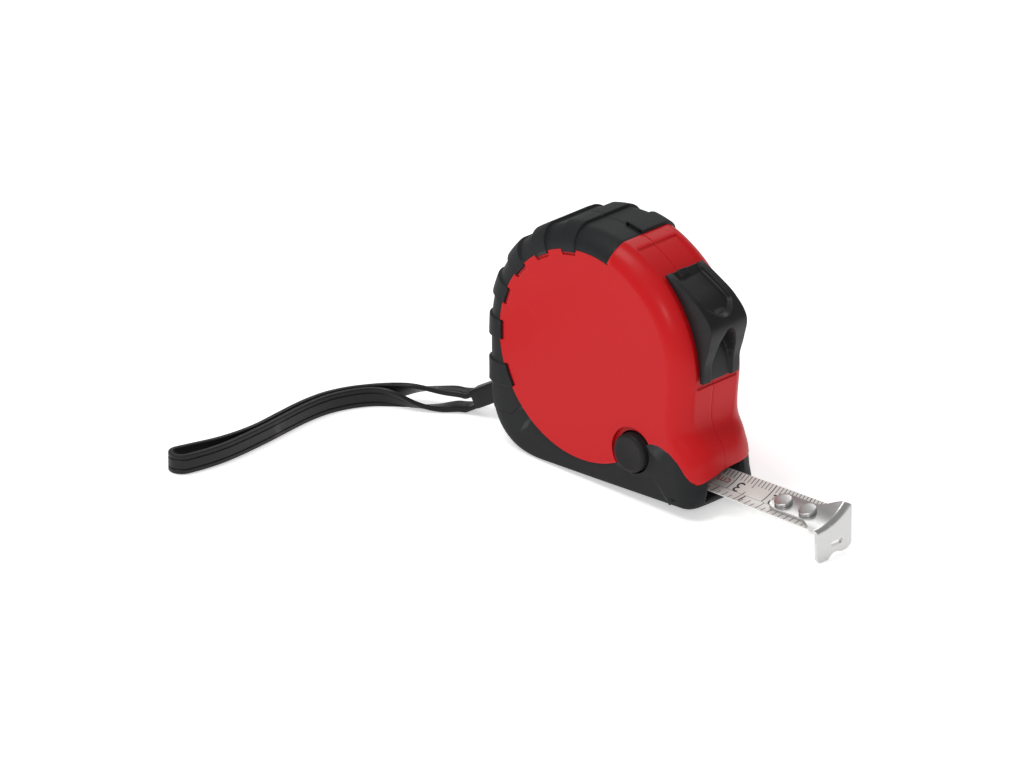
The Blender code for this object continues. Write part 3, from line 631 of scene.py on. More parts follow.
SPRING_STEEL = Finish("spring_steel", (0.30, 0.33, 0.38), (0.36, 0.36, 0.37), (0.5, 0.5, 0.5), 0.3, 0.1,
                      metallic=1.0, grain_size=700.0, grain_height=0.006, dust=0.4)
SCREW_STEEL = Finish("screw_steel", (0.16, 0.16, 0.165), (0.22, 0.22, 0.22), (0.5, 0.5, 0.5), 0.34, 0.1,
                     metallic=1.0, grain_size=1100.0, grain_height=0.008, dust=0.4)
SPOOL_PLASTIC = Finish("spool_plastic", (0.74, 0.73, 0.70), (0.62, 0.61, 0.58), (0.8, 0.8, 0.78), 0.45, 0.1,
                       grain_size=1500.0, grain_height=0.01, dust=0.4)
PRINT_BLACK = Finish("print_black", (0.012, 0.012, 0.013), (0.03, 0.03, 0.03), (0.05, 0.05, 0.05), 0.5, 0.05,
                     grain_size=2500.0, grain_height=0.002, dust=0.2)
PRINT_RED = Finish("print_red", (0.60, 0.04, 0.03), (0.62, 0.09, 0.07), (0.6, 0.1, 0.1), 0.5, 0.05,
                   grain_size=2500.0, grain_height=0.002, dust=0.2)
BLADE_ENAMEL = Finish("blade_enamel", (0.74, 0.73, 0.70), (0.62, 0.61, 0.58), (0.8, 0.79, 0.77), 0.28, 0.08,
                      grain_size=1300.0, grain_height=0.004, dust=0.3, coat=0.3)


class Palette:
    """The materials, made once."""

    def __init__(self) -> None:
        """Builds all finishes."""
        self.shared = Finishes()
        finishes = (RED_PLASTIC, GRIP_RUBBER, LOCK_PLASTIC, BUTTON_PLASTIC, STRAP_RUBBER, HOOK_STEEL,
                    SPRING_STEEL, SCREW_STEEL, SPOOL_PLASTIC, PRINT_BLACK, PRINT_RED, BLADE_ENAMEL)
        self.made = {finish.name: finish.make(self.shared) for finish in finishes}

    def dress(self, piece: bpy.types.Object, finish: Finish) -> None:
        """Puts one finish all over a piece."""
        piece.data.materials.clear()
        piece.data.materials.append(self.made[finish.name])


# ---------- the case's surface ----------


@dataclass
class CaseForm:
    """The outside of the case as one surface.

    A point has two coordinates. The first, u, runs round the outline: degrees about the reel from -8 to 180,
    then straight down to 195, the back corner to 270, the base to 300 and the nose to 352, where it meets -8
    again. The second, w, runs from the middle of the flat side (-1) to its edge (0), over the rounded edge (1)
    and across to the seam (2).
    """

    radius: float = 28.7 * MM
    flat_radius: float = 24.3 * MM
    half: float = 11.0 * MM
    axis_height: float = 27.9 * MM
    edge_depth: float = 4.5 * MM
    base_edge: float = 1.2 * MM
    corner_height: float = 16.0 * MM
    corner_foot: float = -11.0 * MM
    corner_start: float = 195.0
    corner_power: float = 2.5
    seam: float = -1.0 * MM
    seam_gap: float = 0.06 * MM
    # height, then the full outline, the flat side's outline and the edge's depth
    nose: tuple[tuple[float, float, float, float], ...] = (
        (1.5 * MM, 31.9 * MM, 25.4 * MM, 8.0 * MM),
        (7.0 * MM, 31.9 * MM, 25.4 * MM, 8.2 * MM),
        (10.5 * MM, 32.0 * MM, 25.2 * MM, 8.3 * MM),
        (13.4 * MM, 31.0 * MM, 24.6 * MM, 7.6 * MM),
        (16.2 * MM, 28.8 * MM, 23.9 * MM, 6.0 * MM),
        (19.5 * MM, 28.1 * MM, 23.6 * MM, 4.7 * MM),
    )
    # how round the edge is: 2 is an ellipse, less is a slope between two soft ridges
    roundness: tuple[tuple[float, float], ...] = (
        (-8.0, 1.5), (60.0, 1.5), (80.0, 1.7), (100.0, 1.75), (180.0, 2.0), (215.0, 3.2), (250.0, 4.5),
        (302.0, 4.5), (312.0, 2.6), (325.0, 1.9), (340.0, 1.6), (352.0, 1.5))
    knots: list[Vector] = field(default_factory=list)

    def __post_init__(self) -> None:
        """Collects the nose's knots: full x, full z, flat x, flat z and depth."""
        high, full_x, flat_x, deep = self.nose[0]
        self.knots.append(Vector((full_x - high, 0.0, flat_x - high, self.base_edge, deep)))
        for high, full_x, flat_x, deep in self.nose:
            self.knots.append(Vector((full_x, high, flat_x, high, deep)))
        end = self.polar(TOP_START, self.radius)
        flat_end = self.polar(TOP_START, self.flat_radius)
        self.knots.append(Vector((*end, *flat_end, self.edge_depth)))

    def polar(self, degrees: float, radius: float) -> tuple[float, float]:
        """An (x, z) point about the reel's axis."""
        turn = math.radians(degrees)
        return radius * math.cos(turn), self.axis_height + radius * math.sin(turn)

    def station(self, u: float) -> tuple[tuple[float, float], tuple[float, float], float]:
        """The outline at u.

        Args:
            u: the place round the outline.

        Returns:
            The full outline's (x, z), the flat side's (x, z) and the edge's depth.
        """
        u = wrapped(u)
        if u <= BACK_TOP:
            return self.polar(u, self.radius), self.polar(u, self.flat_radius), self.edge_depth
        if u <= self.corner_start:
            share = (u - BACK_TOP) / (self.corner_start - BACK_TOP)
            drop = math.degrees(math.asin((self.axis_height - self.corner_height) / self.flat_radius))
            full = (-self.radius, self.axis_height - (self.axis_height - self.corner_height) * share)
            return full, self.polar(BACK_TOP + drop * share, self.flat_radius), self.edge_depth
        if u <= CORNER_END:
            turn = math.pi / 2 * (u - self.corner_start) / (CORNER_END - self.corner_start)
            near = max(0.0, math.cos(turn)) ** (2 / self.corner_power)
            down = math.sin(turn) ** (2 / self.corner_power)
            back = -math.sqrt(self.flat_radius ** 2 - (self.axis_height - self.corner_height) ** 2)
            full = (self.corner_foot - (self.corner_foot + self.radius) * near,
                    self.corner_height * (1 - down))
            flat = (self.corner_foot - (self.corner_foot - back) * near,
                    self.corner_height - (self.corner_height - self.base_edge) * down)
            return full, flat, self.edge_depth
        toe = self.knots[0]
        if u <= BASE_END:
            share = (u - CORNER_END) / (BASE_END - CORNER_END)
            full = (self.corner_foot + (toe[0] - self.corner_foot) * share, 0.0)
            flat = (self.corner_foot + (toe[2] - self.corner_foot) * share, self.base_edge)
            return full, flat, self.edge_depth + (toe[4] - self.edge_depth) * smoothstep(0.4, 1.0, share)
        spot = curve_at(self.knots, (u - BASE_END) / (NOSE_END - BASE_END) * (len(self.knots) - 1))
        return (spot[0], spot[1]), (spot[2], spot[3]), spot[4]

    def power(self, u: float) -> float:
        """How round the edge is at u."""
        return between(self.roundness, wrapped(u))

    def on_surface(self, side: Side, u: float, w: float) -> Vector:
        """The surface's point at (u, w) on one side.

        Args:
            side: the half of the case.
            u: the place round the outline.
            w: the place across.

        Returns:
            The point.
        """
        full, flat, depth = self.station(u)
        if w <= 0.0:
            out = 1.0 + w
            return Vector((flat[0] * out, side.value * self.half,
                           self.axis_height + (flat[1] - self.axis_height) * out))
        power = 2.0 / self.power(u)
        turn = math.pi / 2 * min(w, 1.0)
        share = math.sin(turn) ** power
        across = self.half - depth * (1 - max(0.0, math.cos(turn)) ** power)
        if w > 1.0:
            stop = side.value * self.seam + self.seam_gap
            across += (stop - across) * (w - 1.0)
        return Vector((flat[0] + (full[0] - flat[0]) * share, side.value * across,
                       flat[1] + (full[1] - flat[1]) * share))

    def point(self, side: Side, u: float, w: float, lift: float = 0.0) -> Vector:
        """The surface's point, lifted along the surface's normal.

        Args:
            side: the half of the case.
            u: the place round the outline.
            w: the place across.
            lift: how far off the surface.

        Returns:
            The point.
        """
        spot = self.on_surface(side, u, w)
        if lift == 0.0:
            return spot
        if w <= 0.0:
            return spot + Vector((0, side.value * lift, 0))
        round_it = self.on_surface(side, u + 0.1, w) - self.on_surface(side, u - 0.1, w)
        across = self.on_surface(side, u, min(2.0, w + 0.01)) - self.on_surface(side, u, max(0.0, w - 0.01))
        normal = round_it.cross(across).normalized()
        if normal.dot(spot - Vector((0, 0, self.axis_height))) < 0:
            normal = -normal
        return spot + normal * lift

    def flat_length(self, u: float) -> float:
        """From the reel's axis to the flat side's outline."""
        x, z = self.station(u)[1]
        return math.hypot(x, z - self.axis_height)

    def turn_at(self, u: float) -> float:
        """The flat side's direction about the reel's axis, in degrees from -180 to 180."""
        x, z = self.station(u)[1]
        return math.degrees(math.atan2(z - self.axis_height, x))

    def turn_of(self, u: float) -> float:
        """The full outline's direction about the reel's axis, in degrees from -8 to 352."""
        x, z = self.station(u)[0]
        return wrapped(math.degrees(math.atan2(z - self.axis_height, x)))

    def u_of_turn(self, turn: float) -> float:
        """The place round the top and back where the full outline has this direction.

        Args:
            turn: degrees about the reel's axis.

        Returns:
            The place.
        """
        if turn <= BACK_TOP:
            return turn
        return solve(self.turn_of, turn, BACK_TOP, CORNER_END)

    def nose_u(self, height: float) -> float:
        """The place round the outline where the nose is this high."""
        return solve(lambda u: self.station(u)[0][1], height, BASE_END, NOSE_END)


@dataclass
class Borders:
    """Where red plastic ends and black rubber begins, on the case's surface."""

    form: CaseForm
    grip_start: float = 73.3
    grip_end: float = 214.3
    disc_inset: float = 0.3 * MM
    rib_first: float = 100.0
    rib_step: float = 20.0
    rib_count: int = 6
    rib_half: float = 4.5
    rib_reach: float = 0.6 * MM
    far_end_rib: float = 78.5
    gap: float = 0.07 * MM
    # from here round the outline the red reaches over the flat side's edge
    red_nose: float = 340.0
    # directions between which the far disc widens to the flat side's edge
    far_fade: tuple[float, float] = (-54.0, -31.5)
    # how far back along the nose the columns bend to follow the lip
    lip_reach: float = 34.0
    # in front of the button: direction, and how far the red side reaches past its circle
    hump: tuple[tuple[float, float], ...] = (
        (-39.8, 0.0), (-38.0, 0.4 * MM), (-36.6, 0.85 * MM), (-35.3, 1.5 * MM), (-34.2, 2.2 * MM),
        (-33.4, 3.0 * MM), (-32.8, 4.0 * MM), (-32.3, 5.2 * MM))
    lip_near: tuple[tuple[float, float], ...] = (
        (0.0, 12.4 * MM), (0.09, 11.6 * MM), (0.185, 10.4 * MM), (0.25, 9.1 * MM), (0.31, 8.0 * MM),
        (0.435, 6.55 * MM), (0.58, 5.8 * MM), (0.7, 5.95 * MM), (0.814, 6.4 * MM), (1.0, 7.0 * MM),
        (1.5, 7.4 * MM), (2.0, 7.6 * MM))
    lip_far: tuple[tuple[float, float], ...] = (
        (0.0, 12.4 * MM), (0.09, 11.9 * MM), (0.185, 11.0 * MM), (0.25, 10.1 * MM), (0.31, 9.4 * MM),
        (0.435, 8.5 * MM), (0.58, 8.05 * MM), (0.7, 7.95 * MM), (0.814, 7.9 * MM), (1.0, 7.8 * MM),
        (1.5, 7.7 * MM), (2.0, 7.6 * MM))

    def rib_turns(self, side: Side) -> list[float]:
        """The directions of a side's ribs about the reel's axis; the far side has one more.

        Args:
            side: the half of the case.

        Returns:
            The directions, in degrees.
        """
        middles = [self.rib_first + self.rib_step * i for i in range(self.rib_count)]
        if side is Side.FAR:
            middles.append(self.far_end_rib)
        return middles

    def rib(self, side: Side, u: float, ramp: float = 0.5) -> float:
        """How much of a rib's height there is at u, from 0 to 1.

        Args:
            side: the half of the case.
            u: the place round the outline.
            ramp: how many degrees the rib's flank takes.

        Returns:
            The share of the height.
        """
        turn = self.form.turn_of(u)
        nearest = min(abs(turn - middle) for middle in self.rib_turns(side))
        return 1.0 - smoothstep(self.rib_half, self.rib_half + ramp, nearest)

    def edge(self, side: Side, u: float) -> float:
        """The w where the red disc ends.

        Args:
            side: the half of the case.
            u: the place round the outline.

        Returns:
            The place across, 0 or less.
        """
        u = wrapped(u)
        inset = self.disc_inset
        if u < self.grip_start or u >= self.red_nose:
            return 0.0
        if u <= self.grip_end:
            inset += self.rib_reach * self.rib(side, u)
        length = self.form.flat_length(u)
        circle = (self.form.flat_radius - inset) / length - 1.0
        if u > CORNER_END:
            turn = self.form.turn_at(u)
            if side is Side.NEAR:
                reach = self.form.flat_radius - inset
                return min(0.0, (reach + between(self.hump, turn)) / length - 1.0)
            return circle * (1.0 - smoothstep(*self.far_fade, turn))
        return circle

    def lip(self, side: Side, w: float) -> float:
        """The u of the boot's front edge at w."""
        return self.form.nose_u(between(self.lip_near if side is Side.NEAR else self.lip_far, w))

    def warped(self, side: Side, u: float, w: float) -> float:
        """Moves a column of the nose so that the first one follows the lip.

        Args:
            side: the half of the case.
            u: the column's place on the flat side's edge.
            w: the row.

        Returns:
            The column's place at that row.
        """
        start = self.lip(side, 0.0)
        share = (u - start) / self.lip_reach
        if w <= 0.0 or share >= 1.0:
            return u
        return u + (self.lip(side, w) - start) * (1.0 - share) ** 2

    def columns(self, side: Side, start: float, end: float, step: float) -> list[float]:
        """Places round the outline with more of them at the ribs' edges.

        Args:
            side: the half of the case.
            start: the first place.
            end: the last place.
            step: the usual distance between two.

        Returns:
            The places.
        """
        out = steps(start, end, max(1, round((end - start) / step)))
        for middle in self.rib_turns(side):
            for sign in (-1, 1):
                out += [self.form.u_of_turn(middle + sign * (self.rib_half + extra))
                        for extra in (-0.35, 0.0, 0.12, 0.25, 0.38, 0.5, 0.9)]
        return merged([u for u in out if start <= u <= end], 0.1)


@dataclass
class RedShell:
    """One red half of the case, with its disc, its front and the sunken track for the thumb lock."""

    side: Side
    form: CaseForm
    borders: Borders
    wall: float = 1.2 * MM
    track: tuple[float, float] = (-3.0, 66.5)
    track_edge: float = 6.25 * MM
    track_depth: float = 0.38 * MM
    pocket: float = 0.62 * MM
    pocket_depth: float = 0.35 * MM
    button: tuple[float, float] = BUTTON_CENTRE
    ring_radius: float = 5.75 * MM
    button_hole: float = 4.75 * MM

    def lift(self, u: float, w: float) -> float:
        """How far the track for the lock sinks the surface.

        Args:
            u: the place round the outline.
            w: the place across.

        Returns:
            The lift, 0 or less.
        """
        turn = wrapped(u)
        spot = self.form.on_surface(self.side, u, w)
        inside = 0.0
        if w > 0.9:
            inside = smoothstep(self.track_edge + 0.1 * MM, self.track_edge - 0.1 * MM, abs(spot.y))
        if turn > BASE_END:
            return 0.0
        along = smoothstep(self.track[0] - 0.15, self.track[0] + 0.15, turn)
        along *= 1.0 - smoothstep(self.track[1] - 0.15, self.track[1] + 0.15, turn)
        return -self.track_depth * inside * along

    def build(self) -> bpy.types.Object:
        """Builds the half.

        Returns:
            The object.
        """
        side, form, borders = self.side, self.form, self.borders
        lip = borders.lip(side, 0.0)
        front = merged(steps(lip, NOSE_END, 26) + steps(NOSE_END, 360.0 + borders.grip_start, 62)
                       + [360.0 + edge + d for edge in self.track for d in (-0.3, -0.1, 0.1, 0.3)], 0.12)
        back = borders.columns(side, borders.grip_start + 0.12, lip, 1.6)
        back += steps(BASE_END, lip, 34)
        around = merged([u - 360.0 for u in front] + back, 0.1)
        around = [u for u in around if u <= lip]
        deep = [0.0, 0.12, 0.5, 0.6, 0.72, 0.95, 1.4, 2.2, 3.4, 5.0, 8.0, 12.0, 17.0]

        def disc(u: float, d: float) -> Vector:
            """The disc's point at a distance from its border, or its middle.

            Args:
                u: the place round the outline.
                d: millimetres from the border; the last one stands for the middle.

            Returns:
                The point.
            """
            length = form.flat_length(u)
            edge = (1.0 + borders.edge(side, u)) * length
            w = -1.0 if d >= deep[-1] + 1.0 else (edge - min(d * MM, edge)) / length - 1.0
            turn = wrapped(u)
            rib = borders.rib(side, turn) if borders.grip_start < turn < borders.grip_end else 0.0
            border = self.pocket / MM
            sunk = self.pocket_depth * rib * (1.0 - smoothstep(border - 0.1, border + 0.1, d))
            return form.point(side, u, min(w, 0.0), -sunk)

        def face(u: float, w: float) -> Vector:
            """The front's point.

            Args:
                u: the place round the outline.
                w: the place across.

            Returns:
                The point.
            """
            place = borders.warped(side, u, w)
            return form.point(side, place, w, self.lift(place, w))

        shape = bmesh.new()
        add_patch(shape, around, deep + [deep[-1] + 2.0], disc)
        depth = form.half - form.edge_depth
        reach = depth - side.value * form.seam
        border = 1.0 + (depth - self.track_edge) / reach
        rows = steps(0.0, 0.08, 2) + steps(0.08, 0.92, 15)[1:] + [0.97, 1.0]
        rows += [border - 0.022, border - 0.008, border + 0.008, border + 0.022] + steps(border + 0.1, 2.0, 7)
        add_patch(shape, front, merged(rows, 0.004), face)
        weld(shape, Vector((0, 0, form.axis_height)))
        piece = to_object(f"shell_{side.name.lower()}", shape)
        thicken(piece, self.wall)
        round_edges(piece, 0.16 * MM)
        settle(piece)
        if side is Side.NEAR:
            outer = -(form.half + 2 * MM)
            cut(piece, rod_along_y(self.button, self.ring_radius, outer, -(form.half - 1.0 * MM)))
            cut(piece, rod_along_y(self.button, self.button_hole, outer, 0.0))
        return piece


@dataclass
class Grip:
    """Half of the ribbed rubber over the top and back."""

    side: Side
    form: CaseForm
    borders: Borders
    wall: float = 1.0 * MM
    proud: float = 0.0
    rib_height: float = 0.7 * MM

    def build(self) -> bpy.types.Object:
        """Builds the half.

        Returns:
            The object.
        """
        side, form, borders = self.side, self.form, self.borders
        across = borders.columns(side, borders.grip_start + 0.15, borders.grip_end - 0.12, 1.7)

        def skin(u: float, v: float) -> Vector:
            """The rubber's point; v below 0 is on the disc's border.

            Args:
                u: the place round the outline.
                v: the place across; below 0 it counts from the disc's border.

            Returns:
                The point.
            """
            start = borders.edge(side, u) + borders.gap / form.flat_length(u)
            w = start * -v if v < 0.0 else v
            share = math.sin(math.pi / 2 * min(1.0, max(0.0, v)))
            rise = self.rib_height * borders.rib(side, u) * (0.42 + 0.58 * share)
            return form.point(side, u, w, self.proud + rise)

        shape = bmesh.new()
        add_patch(shape, across, [-1.0, -0.5, 0.0] + steps(0.06, 1.0, 12) + steps(1.0, 2.0, 6)[1:], skin)
        weld(shape, Vector((0, 0, form.axis_height)))
        piece = to_object(f"grip_{side.name.lower()}", shape)
        thicken(piece, self.wall)
        round_edges(piece, 0.18 * MM)
        settle(piece, 50.0)
        return piece


@dataclass
class Boot:
    """Half of the black rubber round the base, the lower back and the mouth."""

    side: Side
    form: CaseForm
    borders: Borders
    wall: float = 0.85 * MM
    sunk: float = 0.12 * MM
    mouth_w: float = 0.814
    mouth_floor: float = 1.5 * MM
    button: tuple[float, float] = BUTTON_CENTRE
    button_hole: float = 4.8 * MM

    def build(self) -> bpy.types.Object:
        """Builds the half.

        Returns:
            The object.
        """
        side, form, borders = self.side, self.form, self.borders
        floor = form.nose_u(self.mouth_floor)
        lip = borders.lip(side, 0.0) - 0.25

        def skin(u: float, v: float) -> Vector:
            """The rubber's point, with the columns in front bent to the lip.

            Args:
                u: the place round the outline.
                v: the place across; below 0 it counts from the disc's border.

            Returns:
                The point.
            """
            w = v
            if v < 0.0:
                w = min(0.0, borders.edge(side, u) + borders.gap / form.flat_length(u)) * -v
            place = u
            if u > floor and w > 0.0:
                reach = borders.lip(side, w) - 0.25 * (1.0 - 0.5 * min(1.0, w))
                place = floor + (reach - floor) * (u - floor) / (lip - floor)
            return form.point(side, place, w, -self.sunk)

        low = merged(steps(borders.grip_end + 0.12, CORNER_END, 34) + steps(CORNER_END, BASE_END, 18)
                     + steps(BASE_END, floor, 8), 0.1)
        high = steps(floor, lip, 26)
        edge_rows = [-1.0, -0.66, -0.33, 0.0] + steps(0.05, self.mouth_w, 14)
        shape = bmesh.new()
        add_patch(shape, low, edge_rows + steps(self.mouth_w, 1.0, 3)[1:] + steps(1.0, 2.0, 5)[1:], skin)
        add_patch(shape, high, edge_rows, skin)
        weld(shape, Vector((0, 0, form.axis_height)))
        piece = to_object(f"boot_{side.name.lower()}", shape)
        thicken(piece, self.wall)
        round_edges(piece, 0.14 * MM)
        settle(piece, 50.0)
        if side is Side.NEAR:
            cut(piece, rod_along_y(self.button, self.button_hole, -2 * form.half, 0.0))
        return piece


@dataclass
class CaseBody:
    """The whole case: shells, grips, boots, the lining of the mouth and the screws."""

    form: CaseForm
    borders: Borders
    palette: Palette
    mouth_half: float = 5.5 * MM
    mouth_floor: float = 1.2 * MM
    mouth_roof: float = 7.9 * MM
    mouth_depth: tuple[float, float, float] = (21.2 * MM, 26.0 * MM, 30.6 * MM)
    lining: float = 0.5 * MM
    screw_turns: tuple[float, ...] = (80.0, 160.0, 232.0)
    screw_circle: float = 22.0 * MM
    screw_head: float = 1.8 * MM
    screw_top: float = 11.35 * MM
    recess: tuple[float, float, float] = (2.1 * MM, 0.55 * MM, 0.8 * MM)

    def build(self) -> None:
        """Builds and dresses every piece of the case."""
        for side, words in ((Side.NEAR, "near"), (Side.FAR, "far")):
            shell = RedShell(side, self.form, self.borders)
            self._finish(shell.build(), RED_PLASTIC, "case", f"{words}_shell")
            self._finish(Grip(side, self.form, self.borders).build(), GRIP_RUBBER, "grip", f"{words}_grip")
            self._finish(Boot(side, self.form, self.borders).build(), GRIP_RUBBER, "grip", f"{words}_base")
        rear, middle, front = self.mouth_depth
        self._finish(self.tube("mouth_rim", middle, front), GRIP_RUBBER, "grip")
        self._finish(self.tube("mouth_tunnel", rear, middle), RED_PLASTIC, "case")
        for index, turn in enumerate(self.screw_turns):
            self._finish(self.screw(index + 1, turn), SCREW_STEEL, "screws", f"case_screw_{index + 1}")

    def _finish(self, piece: bpy.types.Object, finish: Finish, slot: str, *nodes: str) -> None:
        """Dresses a piece, puts it on the case and hides the CAD nodes that it stands for."""
        self.palette.dress(piece, finish)
        mount(piece, "case", slot, *nodes)

    def tube(self, name: str, rear: float, front: float) -> bpy.types.Object:
        """A stretch of the mouth's lining, open at both ends so that the blade passes.

        Args:
            name: the object's name.
            rear: where it starts.
            front: where it opens.

        Returns:
            The object.
        """
        shape = bmesh.new()
        bmesh.ops.create_cube(shape, size=1.0)
        tall = self.mouth_roof - self.mouth_floor
        bmesh.ops.scale(shape, verts=shape.verts, vec=(front - rear, 2 * self.mouth_half, tall))
        bmesh.ops.translate(shape, verts=shape.verts,
                            vec=((front + rear) / 2, 0.0, (self.mouth_roof + self.mouth_floor) / 2))
        ends = [f for f in shape.faces if abs(f.normal.x) > 0.9]
        bmesh.ops.delete(shape, geom=ends, context="FACES_ONLY")
        bmesh.ops.reverse_faces(shape, faces=shape.faces)
        piece = to_object(name, shape)
        thicken(piece, self.lining)
        settle(piece)
        return piece

    def screw(self, index: int, turn: float) -> bpy.types.Object:
        """A screw's head with its cross recess.

        Args:
            index: which screw.
            turn: its place about the reel's axis.

        Returns:
            The object.
        """
        x, z = self.form.polar(turn, self.screw_circle)
        place = Matrix.Translation((x, 0, z)) @ Matrix.Rotation(-math.pi / 2, 4, "X")
        low = self.form.half - 2.4 * MM
        line = [(0.0, low), (self.screw_head, low), (self.screw_head, self.screw_top - 0.45 * MM)]
        line += [(self.screw_head * math.cos(t), self.screw_top - 0.45 * MM * (1 - math.sin(t)))
                 for t in steps(0.3, 1.3, 6)]
        piece = turned(f"screw_{index}", line + [(0.0, self.screw_top)], place, 40)
        long, wide, deep = self.recess
        for quarter in (0.4, 0.4 + math.pi / 2):
            tool = bmesh.new()
            bmesh.ops.create_cube(tool, size=1.0)
            bmesh.ops.scale(tool, verts=tool.verts, vec=(long, wide, 2 * deep))
            bmesh.ops.rotate(tool, verts=tool.verts, cent=(0, 0, 0), matrix=Matrix.Rotation(quarter, 3, "Z"))
            bmesh.ops.translate(tool, verts=tool.verts, vec=(0, 0, self.screw_top))
            bmesh.ops.transform(tool, verts=tool.verts, matrix=place)
            cut(piece, to_object("tool", tool))
        return piece


@dataclass
class ThumbLock:
    """The thumb lock: a saddle on the case with a dish for the thumb and an arch at its lower end."""

    form: CaseForm
    palette: Palette
    half: float = 5.85 * MM
    clearance: float = 0.3 * MM
    profile: tuple[tuple[float, float], ...] = (
        (0.0, 1.2 * MM), (8.0, 1.8 * MM), (15.0, 3.8 * MM), (22.0, 5.9 * MM), (30.0, 5.0 * MM),
        (40.0, 2.7 * MM), (49.4, 0.9 * MM))
    dish_turns: tuple[float, float] = (25.5, 60.0)
    dish_half: float = 4.1 * MM
    dish_depth: float = 1.3 * MM
    arch_end: float = 20.3
    arch_half: float = 3.2 * MM
    arch_floor: float = 0.55 * MM
    nub_turns: tuple[float, float] = (45.5, 49.4)

    def rise(self, turn: float, y: float) -> float:
        """The saddle's height over its foot.

        Args:
            turn: degrees about the reel.
            y: the place across.

        Returns:
            The height.
        """
        knots = [Vector(knot) for knot in self.profile]
        share = next((i + (turn - a[0]) / (b[0] - a[0]) for i, (a, b) in enumerate(zip(knots, knots[1:]))
                      if turn <= b[0]), len(knots) - 1.0)
        height = curve_at(knots, share)[1]
        ridge = height - 0.25 * MM * (y / self.half) ** 2
        start, end = self.dish_turns
        round_start = start + 5.0 * (y / self.dish_half) ** 2
        dish = smoothstep(round_start - 1.0, round_start + 1.2, turn)
        dish *= 1.0 - smoothstep(self.dish_half - 0.35 * MM, self.dish_half + 0.25 * MM, abs(y))
        bowl = self.dish_depth * dish * (1.0 - 0.25 * (y / self.dish_half) ** 2)
        ridge = max(ridge - bowl, 0.45 * MM) if dish > 0.0 else ridge
        climb = max(0.0, turn - 6.0) / (self.arch_end - 6.0)
        arch_half = self.arch_half * math.sqrt(max(0.0, 1.0 - climb ** 2))
        if turn < self.arch_end:
            arch = 1.0 - smoothstep(arch_half - 0.25 * MM, arch_half + 0.2 * MM, abs(y))
            ridge += (self.arch_floor - ridge) * arch
        low, high = self.nub_turns
        nub = smoothstep(low, low + 0.8, turn) * (1.0 - smoothstep(1.0 * MM, 1.5 * MM, abs(y + 1.0 * MM)))
        return ridge + 0.55 * MM * nub

    def build(self) -> None:
        """Builds and dresses the lock."""
        foot = self.form.radius + self.clearance
        last = self.profile[-1][0]

        def skin(turn: float, y: float) -> Vector:
            """The saddle's top and walls; beyond its edges the point drops to the foot.

            Args:
                turn: degrees about the reel.
                y: the place across.

            Returns:
                The point.
            """
            inside = 0.0 <= turn <= last and abs(y) <= self.half
            turn, y = min(max(turn, 0.0), last), min(max(y, -self.half), self.half)
            x, z = self.form.polar(turn, foot + (self.rise(turn, y) if inside else 0.0))
            return Vector((x, y, z))

        def sole(turn: float, y: float) -> Vector:
            """The underside.

            Args:
                turn: degrees about the reel.
                y: the place across.

            Returns:
                The point.
            """
            turn, y = min(max(turn, 0.0), last), min(max(y, -self.half), self.half)
            x, z = self.form.polar(turn, foot)
            return Vector((x, y, z))

        turns = [-1.0] + steps(0.0, last, 110) + [last + 1.0]
        across = [-self.half - MM] + steps(-self.half, self.half, 52) + [self.half + MM]
        shape = bmesh.new()
        add_patch(shape, turns, across, skin)
        add_patch(shape, turns[1:-1], across[1:-1], sole)
        clean(shape)
        piece = to_object("thumb_slider", shape)
        round_edges(piece, 0.4 * MM, 3, 50.0)
        settle(piece, 55.0)
        self.palette.dress(piece, LOCK_PLASTIC)
        mount(piece, "lock", "lock", "thumb_lock")


@dataclass
class Button:
    """The round brake button in its red ring."""

    palette: Palette
    centre: tuple[float, float] = BUTTON_CENTRE
    radius: float = 4.4 * MM
    face: float = -12.2 * MM
    foot: float = -9.2 * MM
    rounding: float = 0.8 * MM

    def build(self) -> None:
        """Builds and dresses the button."""
        place = Matrix.Translation((self.centre[0], 0, self.centre[1])) @ Matrix.Rotation(-math.pi / 2, 4, "X")
        line = [(0.0, self.face + 0.25 * MM), (0.45 * self.radius, self.face + 0.17 * MM)]
        line += [(0.75 * self.radius, self.face + 0.02 * MM)]
        inner = self.radius - self.rounding
        line += [(inner + self.rounding * math.sin(t), self.face + self.rounding * (1 - math.cos(t)))
                 for t in steps(0.0, math.pi / 2, 8)]
        line += [(self.radius, self.foot), (0.0, self.foot)]
        piece = turned("button", line, place, 72)
        self.palette.dress(piece, BUTTON_PLASTIC)
        mount(piece, "button", "lock", "brake_button")


